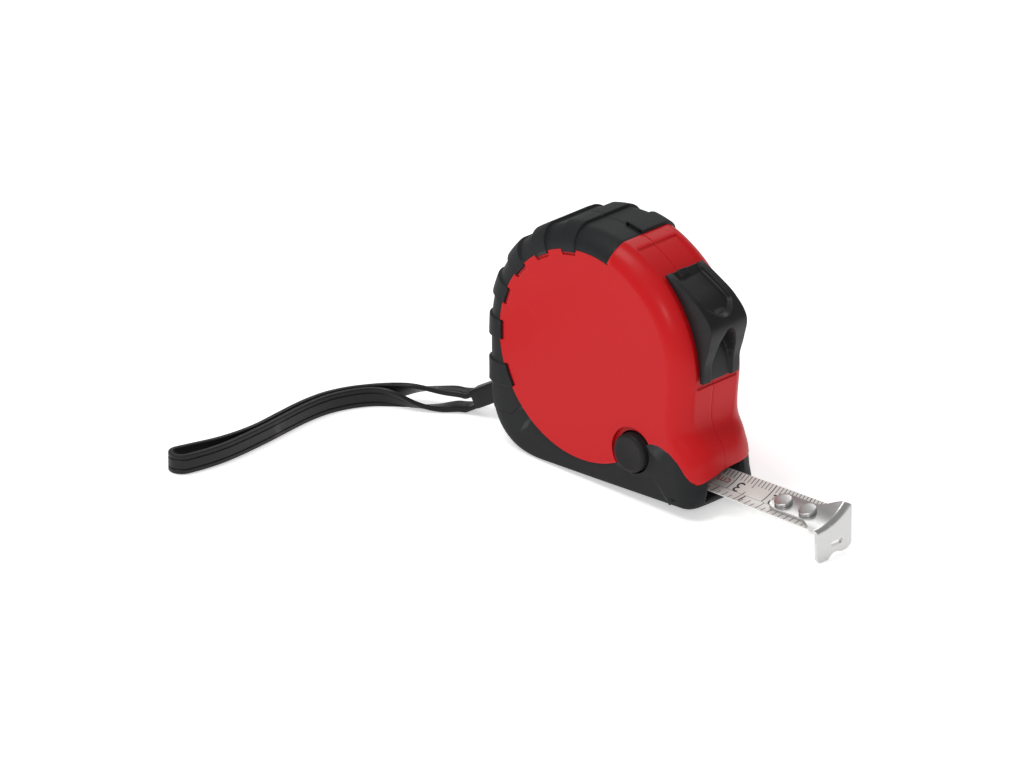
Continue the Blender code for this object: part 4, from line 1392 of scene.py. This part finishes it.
@dataclass
class Blade:
    """The blade that is pulled out, with its scale, its rivets and the hook on its end."""

    palette: Palette
    rear: float = 14.0 * MM
    front: float = 61.0 * MM
    chord: float = 8.7 * MM
    sag: float = 0.7 * MM
    sheet: float = 0.25 * MM
    mouth: tuple[float, float, float, float] = (32.0 * MM, -0.135 * MM, 4.2 * MM, 13.7)
    end: tuple[float, float, float, float] = (61.0 * MM, -0.29 * MM, 3.63 * MM, 19.0)
    zero: float = 62.7 * MM
    print_rise: float = 0.012 * MM
    # lengths of the marks: centimetre, half and millimetre; inch, quarter, eighth and sixteenth
    cm_marks: tuple[float, float, float] = (5.6 * MM, 2.9 * MM, 2.0 * MM)
    inch_marks: tuple[float, float, float, float] = (4.2 * MM, 3.0 * MM, 2.3 * MM, 1.6 * MM)
    # half the width of a centimetre's mark, a millimetre's and an inch scale's
    mark_halves: tuple[float, float, float] = (0.12 * MM, 0.09 * MM, 0.10 * MM)
    cm_count: int = 47
    inch_count: int = 30
    middle_line: tuple[float, float] = (-1.32 * MM, -1.25 * MM)
    rivets: tuple[tuple[str, float], ...] = (("rivet_rear", 48.3 * MM), ("rivet_front", 55.2 * MM))
    rivet_radius: float = 2.0 * MM
    rivet_rise: float = 0.9 * MM
    hook_sheet: float = 0.9 * MM
    hook_front: float = 62.2 * MM
    hook_bend: float = 1.15 * MM
    hook_sides: tuple[float, float] = (-5.3 * MM, 5.75 * MM)
    tongue_rear: float = 45.0 * MM
    tongue_half: float = 2.7 * MM
    flare: tuple[float, float] = (55.2 * MM, 61.4 * MM)
    claws: tuple[tuple[float, float], ...] = (
        (-5.3 * MM, -3.6 * MM), (-4.7 * MM, -4.3 * MM), (-3.8 * MM, -4.62 * MM), (-2.2 * MM, -4.6 * MM),
        (-1.4 * MM, -4.1 * MM), (-0.7 * MM, -3.5 * MM), (0.2 * MM, -3.25 * MM), (1.0 * MM, -3.25 * MM),
        (2.1 * MM, -3.65 * MM), (3.0 * MM, -3.78 * MM), (4.2 * MM, -3.65 * MM), (5.2 * MM, -3.1 * MM),
        (5.75 * MM, -2.4 * MM))
    slot: tuple[float, float, float] = (3.6 * MM, 1.0 * MM, -1.25 * MM)

    def axes(self, x: float) -> tuple[Vector, Vector, Vector]:
        """The blade's middle, its direction across and its up at x.

        Args:
            x: the place along the blade.

        Returns:
            The point and the two directions.
        """
        share = (x - self.mouth[0]) / (self.end[0] - self.mouth[0])
        share = max(-0.6, min(1.05, share))
        y, z, roll = (a + (b - a) * share for a, b in zip(self.mouth[1:], self.end[1:]))
        turn = math.radians(roll)
        return (Vector((x, y, z)), Vector((0, math.cos(turn), math.sin(turn))),
                Vector((0, -math.sin(turn), math.cos(turn))))

    def on_blade(self, x: float, across: float, rise: float = 0.0) -> Vector:
        """A point above the blade's upper face.

        Args:
            x: the place along.
            across: the place across, from the middle.
            rise: the height over the face.

        Returns:
            The point.
        """
        middle, side, up = self.axes(x)
        sagged = -self.sag * (1 - (2 * across / self.chord) ** 2)
        return middle + side * across + up * (sagged + self.sheet + rise)

    def build(self) -> None:
        """Builds and dresses the blade, its print, the rivets and the hook."""
        stops = steps(-self.chord / 2, self.chord / 2, 16)
        under = [(y, -self.sag * (1 - (2 * y / self.chord) ** 2)) for y in stops]
        over = [(y, z + self.sheet) for y, z in reversed(under)]
        sheet = swept("blade_sheet", [self.axes(x) for x in steps(self.rear, self.front, 24)], under + over)
        settle(sheet, 30.0)
        self.palette.dress(sheet, BLADE_ENAMEL)
        mount(sheet, "tape", "blade", "blade")
        self._print()
        for name, x in self.rivets:
            self._rivet(name, x)
        self._hook()

    def _print(self) -> None:
        """The scale: millimetres on the far edge, parts of an inch on the near one, and the figures."""
        edge = self.chord / 2
        marks: list[tuple[float, float, float, float]] = []
        centimetre, half_centimetre, millimetre = self.cm_marks
        bold, fine, plain = self.mark_halves
        for count in range(1, self.cm_count):
            x = self.zero - count * MM
            long = centimetre if count % 10 == 0 else half_centimetre if count % 5 == 0 else millimetre
            marks.append((x, edge - long, edge, fine if count % 10 else bold))
        sixteenth = 25.4 * MM / 16
        whole, quarter, eighth, least = self.inch_marks
        for count in range(1, self.inch_count):
            x = self.zero - count * sixteenth
            long = eighth if count % 2 == 0 else least
            if count % 4 == 0:
                long = whole if count % 16 == 0 else quarter
            marks.append((x, -edge, -edge + long, plain))
        shape = bmesh.new()
        for x, low, high, half in marks:
            count = max(2, round((high - low) / (0.5 * MM)))
            add_patch(shape, [x - half, x + half], steps(low + 0.06 * MM, high - 0.06 * MM, count),
                      lambda a, b: self.on_blade(a, b, self.print_rise))
        add_patch(shape, steps(self.rear, self.tongue_rear, 30), list(self.middle_line),
                  lambda a, b: self.on_blade(a, b, self.print_rise))
        self._sheet_print("scale_marks", shape, PRINT_BLACK)
        for words in ("1", "2", "3"):
            x = self.zero - (10 * int(words) - 2.1) * MM
            self._figure(f"figure_cm_{words}", words, x, 0.6 * MM, 3.5 * MM, PRINT_BLACK)
        self._figure("figure_inch", "1", self.zero - (25.4 - 1.1) * MM, -2.5 * MM, 2.6 * MM, PRINT_BLACK)
        self._figure("figure_unit", "cm", self.zero - 32.6 * MM, 0.9 * MM, 2.2 * MM, PRINT_RED)

    def _sheet_print(self, name: str, shape: bmesh.types.BMesh, finish: Finish) -> None:
        """Finishes a sheet of print so that it faces up, and puts it on the blade.

        Args:
            name: the object's name.
            shape: the sheet.
            finish: the ink.
        """
        bmesh.ops.recalc_face_normals(shape, faces=shape.faces)
        bmesh.ops.reverse_faces(shape, faces=[f for f in shape.faces if f.normal.z < 0])
        piece = to_object(name, shape)
        thicken(piece, self.print_rise * 0.8)
        settle(piece)
        self.palette.dress(piece, finish)
        mount(piece, "tape", "blade")

    def _figure(self, name: str, words: str, x: float, across: float, size: float, finish: Finish) -> None:
        """A figure on the blade, read from the far side.

        Args:
            name: the object's name.
            words: the figure.
            x: its middle along the blade.
            across: its middle across the blade.
            size: its height.
            finish: the ink.
        """
        drawing = bpy.data.curves.new(name, "FONT")
        drawing.body = words
        drawing.align_x = "CENTER"
        drawing.align_y = "CENTER"
        drawing.size = size * 1.35
        holder = bpy.data.objects.new(name + "_line", drawing)
        bpy.context.scene.collection.objects.link(holder)
        mesh = bpy.data.meshes.new_from_object(holder.evaluated_get(bpy.context.evaluated_depsgraph_get()))
        bpy.data.objects.remove(holder, do_unlink=True)
        shape = bmesh.new()
        shape.from_mesh(mesh)
        bmesh.ops.remove_doubles(shape, verts=shape.verts, dist=1e-7)
        bmesh.ops.triangulate(shape, faces=shape.faces)
        for corner in shape.verts:
            corner.co = self.on_blade(x - corner.co.x, across - corner.co.y, self.print_rise)
        self._sheet_print(name, shape, finish)

    def _rivet(self, name: str, x: float) -> None:
        """A round-headed rivet that holds the hook.

        Args:
            name: the CAD node that it stands for.
            x: its place along the blade.
        """
        middle, side, up = self.axes(x)
        place = Matrix.Translation(middle) @ Matrix((Vector((1, 0, 0)), side, up)).transposed().to_4x4()
        base = -self.sag + self.sheet + self.hook_sheet + 0.02 * MM
        low = -self.sag - 0.45 * MM
        reach = self.rivet_radius
        line = [(0.0, low), (1.5 * MM, low), (1.5 * MM, low + 0.3 * MM), (1.0 * MM, low + 0.45 * MM),
                (1.0 * MM, base), (reach - 0.12 * MM, base), (reach, base + 0.15 * MM)]
        corner = 0.28 * MM
        line += [(reach - corner * (1 - math.cos(t)), base + self.rivet_rise - corner * (1 - math.sin(t)))
                 for t in steps(0.0, math.pi / 2, 6)]
        line += [(0.5 * reach, base + self.rivet_rise + 0.05 * MM), (0.0, base + self.rivet_rise + 0.07 * MM)]
        piece = turned(name + "_head", line, place, 48)
        self.palette.dress(piece, HOOK_STEEL)
        mount(piece, "tape", "hook", name)

    def _hook(self) -> None:
        """The hook: one bent sheet, from the tongue's round end over the bend to the two claws."""
        bend_start = self.hook_front - self.hook_bend
        rise = 0.03 * MM + self.hook_sheet
        left, right = self.hook_sides

        def half_width(x: float) -> float:
            """Half the tongue's width at x.

            Args:
                x: the place along the blade.

            Returns:
                The half width.
            """
            back = x - self.tongue_rear
            if back < self.tongue_half:
                return math.sqrt(max(0.0, self.tongue_half ** 2 - (self.tongue_half - back) ** 2))
            share = smoothstep(*self.flare, x)
            return self.tongue_half + (self.chord / 2 + 1.0 * MM - self.tongue_half) * share

        def skin(s: float, v: float) -> Vector:
            """The sheet's outer face.

            Args:
                s: 0 to 1 along the tongue, to 2 round the bend and to 3 down the flange.
                v: -1 to 1 across.

            Returns:
                The point.
            """
            if s <= 1.0:
                x = self.tongue_rear + (bend_start - self.tongue_rear) * (1.0 - (1.0 - max(0.0, s)) ** 2)
                reach = max(0.02 * MM, half_width(x))
                return self.on_blade(x, v * reach, rise)
            across = v * half_width(bend_start)
            top = self.on_blade(bend_start, across, rise)
            turn = math.pi / 2 * min(1.0, s - 1.0)
            bent = top + Vector((self.hook_bend * math.sin(turn), 0, -self.hook_bend * (1 - math.cos(turn))))
            share = max(0.0, s - 2.0)
            y = left + (right - left) * (v + 1) / 2
            bent.y += (y - bent.y) * smoothstep(0.0, 1.0, (s - 1.0) / 1.0)
            bent.z += (between(self.claws, y) - bent.z) * share
            return bent

        shape = bmesh.new()
        rows = steps(0.0, 1.0, 46) + steps(1.0, 2.0, 8)[1:] + steps(2.0, 3.0, 22)[1:]
        add_patch(shape, rows, steps(-1.0, 1.0, 44), skin)
        clean(shape)
        top = max(shape.faces, key=lambda f: f.calc_center_median().z)
        if top.normal.z < 0:
            bmesh.ops.reverse_faces(shape, faces=shape.faces)
        piece = to_object("hook_sheet", shape)
        thicken(piece, self.hook_sheet)
        round_edges(piece, 0.13 * MM, 2, 50.0)
        settle(piece, 40.0)
        long, tall, height = self.slot
        tool = bmesh.new()
        bmesh.ops.create_cube(tool, size=1.0)
        bmesh.ops.scale(tool, verts=tool.verts, vec=(4 * MM, long, tall))
        bmesh.ops.translate(tool, verts=tool.verts, vec=(self.hook_front, 0.9 * MM, height))
        sides = [e for e in tool.edges if abs((e.verts[1].co - e.verts[0].co).x) > MM]
        bmesh.ops.bevel(tool, geom=sides, offset=0.42 * MM, segments=4, profile=0.5, affect="EDGES",
                        material=-1)
        cut(piece, to_object("tool", tool))
        self.palette.dress(piece, HOOK_STEEL)
        mount(piece, "hook", "hook", "end_hook")


@dataclass
class Strap:
    """The wrist strap: a flat ribbon out to the loop's end and back, on a tab at the back of the case."""

    palette: Palette
    tab_exit: tuple[float, float, float] = (-28.2 * MM, -1.0 * MM, 10.82 * MM)
    width: float = 4.4 * MM
    sheet: float = 1.1 * MM
    length: float = 172.8 * MM
    tab_route: tuple[tuple[float, float, float], ...] = (
        (5.3, 0.0, 3.2), (0.0, 0.0, 0.0), (-5.2, -0.3, -3.0), (-10.4, -1.4, -5.9))
    route: tuple[tuple[float, float, float], ...] = (
        (-7.6, -0.7, -4.4), (-10.1, -1.35, -5.9), (-12.2, -2.1, -6.8), (-14.1, -3.5, -6.6),
        (-17.0, -5.8, -6.7), (-20.9, -8.5, -6.5), (-24.1, -10.9, -6.3), (-27.2, -13.8, -6.1),
        (-29.7, -17.4, -6.0), (-31.5, -21.7, -5.9), (-32.5, -26.8, -5.8), (-32.6, -33.2, -5.8),
        (-31.9, -40.3, -5.8), (-31.1, -47.6, -5.8), (-30.9, -54.2, -5.8), (-31.3, -60.3, -5.8),
        (-32.3, -65.4, -5.8), (-33.5, -70.0, -5.8))
    spread: tuple[tuple[float, float], ...] = (
        (0.0, 1.5 * MM), (0.118, 1.6 * MM), (0.26, 2.0 * MM), (0.46, 0.8 * MM), (0.753, 0.8 * MM),
        (1.0, 2.4 * MM))
    side_by_side: tuple[float, float] = (0.17, 0.48)
    groove: float = 0.18 * MM

    def _curve(self, knots: tuple[tuple[float, float, float], ...], count: int) -> list[Vector]:
        """A smooth line through knots given in millimetres from the tab's exit."""
        points = [Vector(self.tab_exit) + Vector(knot) * MM for knot in knots]
        return [curve_at(points, i / count) for i in range((len(points) - 1) * count + 1)]

    @staticmethod
    def _tangent(line: list[Vector], index: int) -> Vector:
        """The line's direction at one of its points."""
        return (line[min(index + 1, len(line) - 1)] - line[max(index - 1, 0)]).normalized()

    def half_gap(self, share: float) -> float:
        """Half the distance between the legs at a share of the way.

        Args:
            share: 0 at the tab, 1 at the loop's end.

        Returns:
            The distance.
        """
        for (low, start), (high, end) in zip(self.spread, self.spread[1:]):
            if share <= high:
                blend = (share - low) / (high - low)
                if low > 0.0:
                    blend = (1 - math.cos(math.pi * blend)) / 2
                return start + (end - start) * blend
        return self.spread[-1][1]

    def stations(self) -> list[tuple[Vector, Vector, Vector]]:
        """The ribbon's rings: centre, direction along and direction outwards.

        Returns:
            The rings, from end to end.
        """
        middle = self._curve(self.route, 5)
        last = len(middle) - 1
        out_leg, back_leg = [], []
        for index, point in enumerate(middle):
            share = index / last
            along = self._tangent(middle, index)
            side = along.cross(Vector((0, 0, 1))).normalized()
            start, end = self.side_by_side
            turned_by = min(1.0, max(0.0, (share - start) / (end - start)))
            lean = math.pi / 2 * (1 - math.cos(math.pi * turned_by)) / 2
            apart = Vector((0, 0, 1)) * math.cos(lean) + side * math.sin(lean)
            out_leg.append((point + apart * self.half_gap(share), along, apart))
            back_leg.append((point - apart * self.half_gap(share), -along, -apart))
        end, along, apart = middle[-1], self._tangent(middle, last), out_leg[-1][2]
        bend = []
        for index in range(1, 16):
            turn = math.pi * index / 16
            outward = apart * math.cos(turn) + along * math.sin(turn)
            forward = along * math.cos(turn) - apart * math.sin(turn)
            bend.append((end + outward * self.half_gap(1.0), forward, outward))
        return out_leg + bend + back_leg[::-1]

    def section(self) -> list[tuple[float, float]]:
        """The ribbon's section: rounded corners, and two grooves on its outer face.

        Returns:
            The corners, across the ribbon and through it.
        """
        wide, thick, bite = self.width / 2, self.sheet / 2, 0.28 * MM
        corner = [(0.0, 1.0), (0.38, 0.92), (0.71, 0.71), (0.92, 0.38), (1.0, 0.0)]
        quarter = [(wide - bite + bite * a, thick - bite + bite * b) for a, b in corner]
        groove_at, half = 0.5 * wide, 0.2 * MM
        top = [(groove_at + half, thick), (groove_at, thick - self.groove), (groove_at - half, thick)]
        upper = [*quarter[::-1], *top, *[(-a, b) for a, b in top[::-1]], *[(-a, b) for a, b in quarter]]
        lower = [(a, -b) for a, b in [*[(-a, b) for a, b in quarter[::-1]], *quarter]]
        return upper + lower

    def build(self) -> None:
        stations = self.stations()
        rings = [(centre, forward.cross(outward).normalized(), outward) for centre, forward, outward in stations]
        ribbon = swept("strap_ribbon", rings, self.section())
        settle(ribbon, 40.0)
        self.palette.dress(ribbon, STRAP_RUBBER)
        mount(ribbon, "case", "strap", "strap")
        tab = self._tab()
        LOG.info("strap %.1f mm, tab %s", self.ribbon_length(stations) / MM, tab.name)

    @staticmethod
    def ribbon_length(stations: list[tuple[Vector, Vector, Vector]]) -> float:
        """The length of the ribbon's middle line."""
        return sum((b[0] - a[0]).length for a, b in zip(stations, stations[1:]))

    def _tab(self) -> bpy.types.Object:
        """The square tab that comes out of the case and holds the ribbon's two ends.

        Returns:
            The object.
        """
        line = self._curve(self.tab_route, 6)
        half = 2.2 * MM
        rings = []
        for index, centre in enumerate(line):
            along = self._tangent(line, index)
            side = Vector((0, 0, 1)).cross(along).normalized()
            rings.append((centre, side, along.cross(side)))
        piece = swept("strap_root", rings, [(-half, -half), (half, -half), (half, half), (-half, half)])
        round_edges(piece, 0.55 * MM, 3)
        settle(piece, 40.0)
        self.palette.dress(piece, STRAP_RUBBER)
        mount(piece, "case", "strap", "strap_tab")
        return piece


@dataclass
class Inside:
    """The parts inside the case, which keep their CAD shapes."""

    palette: Palette
    dressed: tuple[tuple[Finish, tuple[str, ...]], ...] = ()

    def dress(self) -> None:
        """Gives every part that stays its finish."""
        for finish, names in self.dressed:
            for name in names:
                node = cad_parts[name]
                for index in range(len(node.material_slots)):
                    node.material_slots[index].material = self.palette.made[finish.name]


# ---------- camera, floor and light ----------


@dataclass(frozen=True)
class Lamp:
    """A soft square lamp that points at the case."""

    name: str
    spot: tuple[float, float, float]
    size: float
    power: float

    def make(self) -> None:
        """Puts the lamp in the scene."""
        lamp = bpy.data.lights.new(self.name, "AREA")
        lamp.shape = "SQUARE"
        lamp.size = self.size
        lamp.energy = self.power
        made = bpy.data.objects.new(self.name, lamp)
        made.location = self.spot
        made.rotation_euler = (Vector((0, 0, 0.02)) - Vector(self.spot)).to_track_quat("-Z", "Y").to_euler()
        bpy.context.scene.collection.objects.link(made)


@dataclass
class Studio:
    """The camera, the pale floor that carries the case on its hook's end, and the soft light."""

    azimuth: float = 42.3
    elevation: float = 22.5
    target: tuple[float, float, float] = (0.0, -11.0 * MM, 27.9 * MM)
    target_right: float = 15.07 * MM
    target_up: float = 5.92 * MM
    distance: float = 2.57
    view_width: float = 219.5 * MM
    floor_slope: float = 0.058
    floor_pivot: float = -14.0 * MM
    floor_half: float = 3.0
    lamps: tuple[Lamp, ...] = (
        Lamp("key", (-0.15, -0.50, 1.05), 0.5, 5.2),
        Lamp("fill", (0.72, -0.86, 0.62), 0.14, 1.7),
        Lamp("back", (-0.5, 0.8, 0.9), 0.6, 2.6),
    )

    def axes(self) -> tuple[Vector, Vector, Vector]:
        """The camera's right, up and forward.

        Returns:
            The three directions.
        """
        a, e = math.radians(self.azimuth), math.radians(self.elevation)
        forward = Vector((-math.sin(a) * math.cos(e), math.cos(a) * math.cos(e), -math.sin(e)))
        right = Vector((math.cos(a), math.sin(a), 0.0))
        return right, right.cross(forward), forward

    def camera(self) -> None:
        """Makes the scene's camera."""
        right, up, forward = self.axes()
        aim = Vector(self.target) - right * self.target_right - up * self.target_up
        spot = aim - forward * self.distance
        lens = bpy.data.cameras.new("camera")
        lens.sensor_width = 36.0
        lens.lens = 36.0 * self.distance / self.view_width
        lens.clip_start = 0.05
        lens.clip_end = 30.0
        made = bpy.data.objects.new("camera", lens)
        made.matrix_world = Matrix.Translation(spot) @ Matrix((right, up, -forward)).transposed().to_4x4()
        bpy.context.scene.collection.objects.link(made)
        bpy.context.scene.camera = made

    def floor(self) -> None:
        """Makes the floor: it tilts with the case, which rests on its heel and on the hook's claws."""
        shape = bmesh.new()
        bmesh.ops.create_grid(shape, x_segments=1, y_segments=1, size=self.floor_half)
        for corner in shape.verts:
            corner.co.z = -self.floor_slope * (corner.co.x - self.floor_pivot) - 0.02 * MM
        piece = to_object("floor", shape)
        paper = bpy.data.materials.new("floor_paper")
        paper.use_nodes = True
        tree = paper.node_tree
        shader = tree.nodes["Principled BSDF"]
        shader.inputs["Roughness"].default_value = 0.9
        shader.inputs["Specular IOR Level"].default_value = 0.05
        shader.inputs["Emission Color"].default_value = (1.0, 1.0, 1.0, 1.0)
        shader.inputs["Emission Strength"].default_value = 0.5
        place = tree.nodes.new("ShaderNodeTexCoord")
        noise = tree.nodes.new("ShaderNodeTexNoise")
        noise.inputs["Scale"].default_value = 900.0
        tone = ColourMix(tree, (0.90, 0.90, 0.90), (0.93, 0.93, 0.93))
        tree.links.new(place.outputs["Object"], noise.inputs["Vector"])
        tree.links.new(noise.outputs["Fac"], tone.inputs["Factor"])
        tree.links.new(tone.outputs["Result"], shader.inputs["Base Color"])
        piece.data.materials.append(paper)

    def light(self) -> None:
        """Makes a pale world and three soft lamps."""
        world = bpy.data.worlds.new("studio")
        world.use_nodes = True
        sky = world.node_tree.nodes["Background"]
        sky.inputs["Color"].default_value = (1.0, 1.0, 1.0, 1.0)
        sky.inputs["Strength"].default_value = 0.36
        bpy.context.scene.world = world
        bpy.context.scene.view_settings.view_transform = "Standard"
        for lamp in self.lamps:
            lamp.make()


def main() -> None:
    """Builds the camera, the strap and then every other sub-assembly."""
    logging.basicConfig(level=logging.INFO, format="%(message)s")
    studio = Studio()
    studio.camera()
    palette = Palette()
    Strap(palette).build()
    form = CaseForm()
    borders = Borders(form)
    CaseBody(form, borders, palette).build()
    ThumbLock(form, palette).build()
    Button(palette).build()
    Blade(palette).build()
    Inside(palette, (
        (SPRING_STEEL, ("power_spring", "button_spring")),
        (SCREW_STEEL, ("centre_post", "strap_pin")),
        (SPOOL_PLASTIC, ("spool", "spool_cover")),
        (BLADE_ENAMEL, ("blade_coil",)),
        (GRIP_RUBBER, ("brake_pad",)),
        (LOCK_PLASTIC, ("lock_shoe",)),
    )).dress()
    studio.floor()
    studio.light()


if __name__ == "__main__":
    main()
